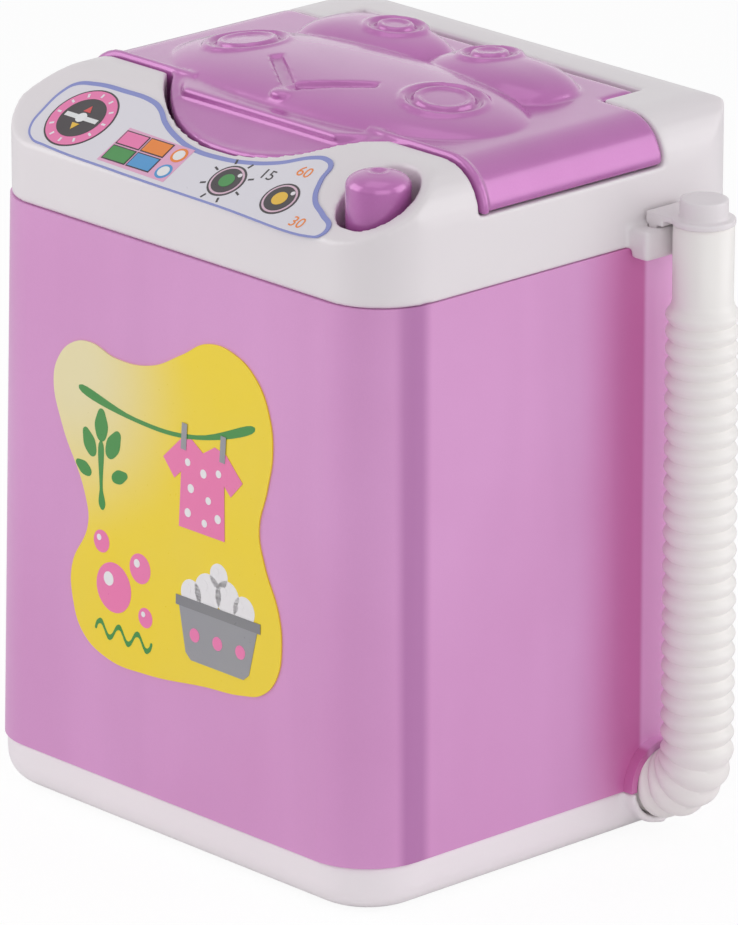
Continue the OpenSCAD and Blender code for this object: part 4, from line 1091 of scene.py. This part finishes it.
class WASHER_OT_front_label(PieceOperator, bpy.types.Operator):
    """Front label: a wavy yellow sheet with a generic wash-day print"""
    bl_idname = "washer.front_label"
    bl_label = "Front label"

    outline = ((-22.7, 68.7), (-26, 65.6), (-27.1, 61.7), (-25.1, 55.2), (-19.4, 45), (-18.6, 40.6),
               (-22.3, 32.7), (-22, 27.5), (-19.6, 22.6), (-14, 19.8), (-5, 19.5), (8.8, 21.1), (17.5, 22),
               (22, 23.4), (25, 27), (25.8, 32), (25, 37), (21.6, 44), (20.3, 49), (22, 56), (23, 62),
               (22, 67.8), (19, 72.6), (14, 75.4), (8, 75.6), (2.4, 72.6), (-4.6, 69.2), (-12.9, 68.4),
               (-18.7, 69.6))
    line = ((-21, 61.6), (-8, 59.4), (6, 60), (19, 64.4), (19, 65.1), (6, 60.7), (-8, 60.1), (-21, 62.3))
    shirt = ((-5.2, 6.6), (-2.6, 7.2), (0, 5.6), (2.6, 7.2), (5.2, 6.6), (9, 3), (6.4, 0.2), (4.9, 1.6),
             (5.2, -7.2), (-5.2, -7.2), (-4.9, 1.6), (-6.4, 0.2), (-9, 3))
    shirt_at = Vector((7.6, 52.6))
    spots = ((-3.4, 3.4), (0.2, 2.4), (3.6, 3.2), (-2.6, -0.6), (1.4, -1.6), (-3.2, -4.6), (0.6, -5.4),
             (3.6, -4.0))
    leaf = ((0, 0), (1.3, 1.6), (1.0, 3.6), (0, 4.8), (-1.0, 3.6), (-1.3, 1.6))
    leaves = ((0.5, -17.4, 51.6, 1.0), (-0.5, -14.2, 52.2, 1.1), (1.2, -18, 48.6, 0.8),
              (-1.2, -13.2, 49, 0.8), (0.0, -15.8, 54.4, 1.1))  # turn, place and size
    stalk = ((-16.1, 54.4), (-15.5, 54.4), (-15.3, 47), (-15, 43.6), (-15.7, 43.6), (-16, 47))
    tub = ((2.6, 33.4), (20.6, 33.4), (18.8, 25.6), (17.6, 24.6), (5.6, 24.6), (4.4, 25.6))
    tub_rim = ((2.0, 34.4), (21.2, 34.4), (21.2, 32.8), (2.0, 32.8))
    suds = ((5.4, 35.2, 2.3), (9.2, 36.4, 3.0), (13.6, 36.6, 2.7), (17.4, 35.4, 2.4), (11.6, 39.6, 2.0))
    loose = ((-12.4, 31.6, 4.0), (-6.4, 36.2, 2.4), (-15.4, 38.4, 1.8), (-5.0, 28.6, 1.6))
    white = (0.86, 0.84, 0.86)

    def build(self):
        label = Print(FRONT, self.outline, 0.25 * MM, shades().yellow, fade=1.0)
        self.washing_line(label)
        self.sprig(label)
        self.tub_of_suds(label)
        self.loose_bubbles(label)
        settle(label.whole(), "front_label", "case", "sticker", "front_sticker")

    def washing_line(self, label):
        """A line with a spotted shirt pegged to it."""
        c = shades()
        label.draw(self.line, 0, c.green)
        at = self.shirt_at
        label.draw([(at.x + x, at.y + y) for x, y in self.shirt], 1, c.pink, smooth=False)
        for i, (x, y) in enumerate(self.spots):
            label.disc(at.x + x, at.y + y, 0.6 + 0.1 * (i % 2), 2, self.white, 8)
        for x in (at.x - 4.4, at.x + 4.4):
            label.bar(x, at.y + 5.2, x + 0.2, at.y + 9.4, 1.2, 3, c.grey)

    def sprig(self, label):
        c = shades()
        for turn, x, y, size in self.leaves:
            cos, sin = size * math.cos(turn), size * math.sin(turn)
            spun = [(x + px * cos - py * sin, y + px * sin + py * cos) for px, py in self.leaf]
            label.draw(spun, 0, c.green)
        label.draw(self.stalk, 0, c.green)

    def tub_of_suds(self, label):
        c = shades()
        label.draw(self.tub, 1, c.grey, smooth=False)
        label.draw(self.tub_rim, 2, darker(c.grey, 0.7), smooth=False)
        for x in (6.4, 11.6, 16.8):
            label.disc(x, 28.8, 1.1, 2, c.pink, 10)
        for x, y, r in self.suds:
            self.bubble(label, x, y, r, self.white)

    def loose_bubbles(self, label):
        """Pink bubbles over a green curl."""
        c = shades()
        for x, y, r in self.loose:
            self.bubble(label, x, y, r, c.pink)
        curl = [(-16.5 + 0.62 * i, 24.4 + 1.1 * math.sin(i * 0.9)) for i in range(22)]
        label.draw([(x, y + 0.45) for x, y in curl] + [(x, y - 0.45) for x, y in reversed(curl)], 0, c.green)

    def bubble(self, label, x, y, r, values):
        """A round bubble with a white glint."""
        label.disc(x, y, r, 0, values)
        label.disc(x - r * 0.3, y + r * 0.3, r * 0.28, 1, self.white, 10)


class WASHER_OT_panel_print(PieceOperator, bpy.types.Operator):
    """Panel print: a pale sheet with a blue edge, plain dials and colour fields"""
    bl_idname = "washer.panel_print"
    bl_label = "Panel print"

    outline = ((-36.8, 3.4), (-34.4, 1.2), (-31, 0.7), (-15, 0.1), (10, -0.3), (30.2, -0.5), (32.2, 0.4),
               (32.3, 2.7), (29.4, 4.5), (25.5, 6.8), (23.4, 10.4), (22.6, 13.6), (20.6, 14.5), (18.2, 14.1),
               (13, 11.2), (7.6, 9.5), (2, 8.8), (-3.9, 8.9), (-9, 10.2), (-13.1, 12), (-16.6, 14.3),
               (-19.2, 15.2), (-26, 15.5), (-32.7, 15.1), (-36.2, 13.9), (-37.3, 12), (-37.6, 7.6))
    paper = (0.78, 0.75, 0.81)
    white = (0.85, 0.84, 0.84)
    pale = (0.85, 0.8, 0.84)
    amber = (0.85, 0.5, 0.02)
    field_edge = 0.22

    def build(self):
        c = shades()
        panel = Print(PANEL, self.outline, 0.2 * MM, c.outline)
        panel.draw([(x, y - 0.3) for x, y in self.outline], 0, self.paper, inset=0.6)
        self.big_dial(panel, -28.8, 7.7)
        self.fields(panel)
        for y, rim in ((6.5, c.orange), (2.8, c.blue)):
            panel.disc(-5.1, y, 1.5, 2, rim, 20)
            panel.disc(-5.1, y, 1.05, 3, self.white, 20)
        for x, y, cap in ((7.4, 4.7, c.green), (19.4, 4.5, self.amber)):
            self.small_dial(panel, x, y, cap)
        for text, x, y, ink in (("15", 13.4, 8.0, c.ink), ("60", 19.2, 10.5, c.orange),
                                ("30", 26.2, 1.3, c.orange)):
            panel.number(text, x, y, 2.9, 1, ink)
        panel.ticks(7.4, 4.7, 8, 22, 3.7, 4.7, 0.35, 1, c.ink)
        settle(panel.whole(), "panel_print", "case", "panel_print", "panel_sticker")

    def big_dial(self, panel, x, y):
        """A pink ring with a bar across its dark middle and a pointer above and below."""
        c = shades()
        for level, (r, ink) in enumerate(((6.3, c.ink), (6.0, c.pink), (4.2, c.ink)), 1):
            panel.disc(x, y, r, level, ink, 20)
        panel.ticks(x, y, 12, 0, 4.7, 5.5, 0.4, 3, self.pale)
        panel.bar(x - 3.6, y, x + 3.6, y, 0.9, 4, (0.8, 0.8, 0.8))
        panel.disc(x, y, 1.0, 5, (0.85, 0.85, 0.85), 20)
        panel.draw([(x - 0.8, y + 1.3), (x + 0.8, y + 1.3), (x, y + 2.7)], 4, (0.7, 0.05, 0.05), smooth=False)
        panel.draw([(x - 0.8, y - 1.3), (x, y - 2.7), (x + 0.8, y - 1.3)], 4, self.amber, smooth=False)

    def fields(self, panel):
        """Two rows of two colour fields on a pink patch."""
        c = shades()
        inks = ((c.green, c.blue), (c.pink, c.orange))
        panel.draw([(-18.9, 1.2), (-3.4, 0.9), (-3.2, 8.3), (-18.5, 8.7)], 1, (0.8, 0.4, 0.6), smooth=False)
        for col, (left, right) in enumerate(((-18.2, -13.3), (-12.6, -7.8))):
            for row, (low, high) in enumerate(((1.9, 4.6), (5.3, 7.9))):
                for level, ink, out in ((2, c.ink, self.field_edge), (3, inks[row][col], 0.0)):
                    panel.draw([(left - out, low - out), (right + out, low - out), (right + out, high + out),
                                (left - out, high + out)], level, ink, smooth=False)

    def small_dial(self, panel, x, y, cap):
        c = shades()
        rings = ((3.3, c.ink), (2.95, (0.75, 0.5, 0.62)), (2.6, c.ink), (1.35, cap))
        for level, (r, ink) in enumerate(rings, 1):
            panel.disc(x, y, r, level, ink, 20)
        panel.disc(x + 1.5, y + 1.6, 0.4, 4, self.pale, 20)


class WASHER_OT_springs(PieceOperator, bpy.types.Operator):
    """Round-wire springs of the cells and of the button"""
    bl_idname = "washer.springs"
    bl_label = "Springs"

    per_turn = 24

    def coil(self, base, axis, r, wire, span, turns):
        """A spring from base along axis, its end turns closed flat."""
        steps = turns * self.per_turn
        turn = Vector(axis).to_track_quat("Z", "Y").to_matrix()
        points = []
        for i in range(steps + 1):
            a = 2 * math.pi * i / self.per_turn
            share = min(max((i / steps - 0.12) / 0.76, 0.0), 1.0)
            points.append(Vector(base) + turn @ Vector((r * math.cos(a), r * math.sin(a),
                                                        wire + (span - 2 * wire) * share)))
        return tube(points, wire, around=3)

    def build(self):
        low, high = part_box("battery_springs")
        front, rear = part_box("battery_cell_front"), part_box("battery_cell_rear")
        middle_z = (front[0].z + front[1].z) / 2
        rows = [(front[0].y + front[1].y) / 2, (rear[0].y + rear[1].y) / 2]
        pair = [self.coil((x, y, middle_z), (way, 0, 0), 3.2 * MM, 0.35 * MM, 6.7 * MM, 5)
                for x, y, way in ((low.x, rows[0], 1), (high.x, rows[1], -1))]
        settle(join(*pair), "cell_springs", "case", "steel", "battery_springs")
        low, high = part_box("button_spring")
        spring = self.coil(button_axis(low.z), (0, 0, 1), 3.4 * MM, 0.3 * MM, high.z - low.z, 6)
        settle(spring, "return_spring", None, "steel", "button_spring")
        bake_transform(spring)


class WASHER_OT_leads(PieceOperator, bpy.types.Operator):
    """The three leads, with rounded corners"""
    bl_idname = "washer.leads"
    bl_label = "Leads"

    r = 0.6 * MM
    corner = 1.6 * MM

    def lead(self, name, node, paint, points):
        piece = tube([Vector(p) * MM for p in points], self.r, self.corner)
        settle(piece, name, "case", "wire_sleeve", node, paint=paint)

    def build(self):
        self.lead("red_lead", "wire_battery_switch", "wire_red",
                  [(28.75, -28.7, 21.3), (28.75, -28.7, 27.1), (37.8, -28.7, 27.1), (37.8, -30.1, 27.1),
                   (37.8, -30.1, 92.3)])
        self.lead("yellow_lead", "wire_switch_motor", "wire_yellow",
                  [(31.8, -30.1, 94.5), (31.8, -30.1, 34), (-4, -30.1, 34), (-4, -24.7, 34)])
        self.lead("black_lead", "wire_motor_battery", "wire_black",
                  [(4, -9.5, 24.6), (4, -6.1, 24.6), (28.75, -6.1, 24.6), (28.75, -13.5, 24.6),
                   (28.75, -13.5, 21.3)])


class WASHER_OT_finishes(PieceOperator, bpy.types.Operator):
    """Finishes on every CAD node that is left showing"""
    bl_idname = "washer.finishes"
    bl_label = "Finishes"

    own = {  # nodes with a finish other than their slot's
        "battery_cell_front": "cell_front",
        "battery_cell_rear": "cell_rear",
        # the door has the base's white, painted lighter
        "battery_door": "painted_lit_base_plastic",
    }

    def build(self):
        for node, obj in frame["nodes"].items():
            if obj.hide_render:
                continue
            obj.data.materials.clear()
            obj.data.materials.append(finish(self.own.get(node, SLOTS[node])))


class WASHER_PT_panel(bpy.types.Panel):
    """The toy washing machine's pieces, sizes and colours"""
    bl_idname = "WASHER_PT_panel"
    bl_label = "Toy washing machine"
    bl_space_type = "VIEW_3D"
    bl_region_type = "UI"
    bl_category = "Washer"

    def draw(self, context):
        column = self.layout.column()
        for operator in OPERATORS:
            column.operator(operator.bl_idname)
        for group in (context.scene.washer_sizes, context.scene.washer_colours):
            for name in group.__annotations__:
                column.prop(group, name)


OPERATORS = (WASHER_OT_camera, WASHER_OT_hose, WASHER_OT_base, WASHER_OT_frame, WASHER_OT_lid,
             WASHER_OT_button, WASHER_OT_hose_end, WASHER_OT_front_label, WASHER_OT_panel_print,
             WASHER_OT_springs, WASHER_OT_leads, WASHER_OT_finishes, WASHER_OT_stage)
CLASSES = (WasherSizes, WasherColours, *OPERATORS, WASHER_PT_panel)


def register():
    for made in CLASSES:
        bpy.utils.register_class(made)
    bpy.types.Scene.washer_sizes = bpy.props.PointerProperty(type=WasherSizes)
    bpy.types.Scene.washer_colours = bpy.props.PointerProperty(type=WasherColours)


def unregister():
    del bpy.types.Scene.washer_colours
    del bpy.types.Scene.washer_sizes
    for made in reversed(CLASSES):
        bpy.utils.unregister_class(made)


def main():
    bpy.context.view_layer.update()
    register()
    for operator in OPERATORS:
        getattr(bpy.ops.washer, operator.bl_idname.split(".")[1])()


if __name__ == "__main__":
    main()
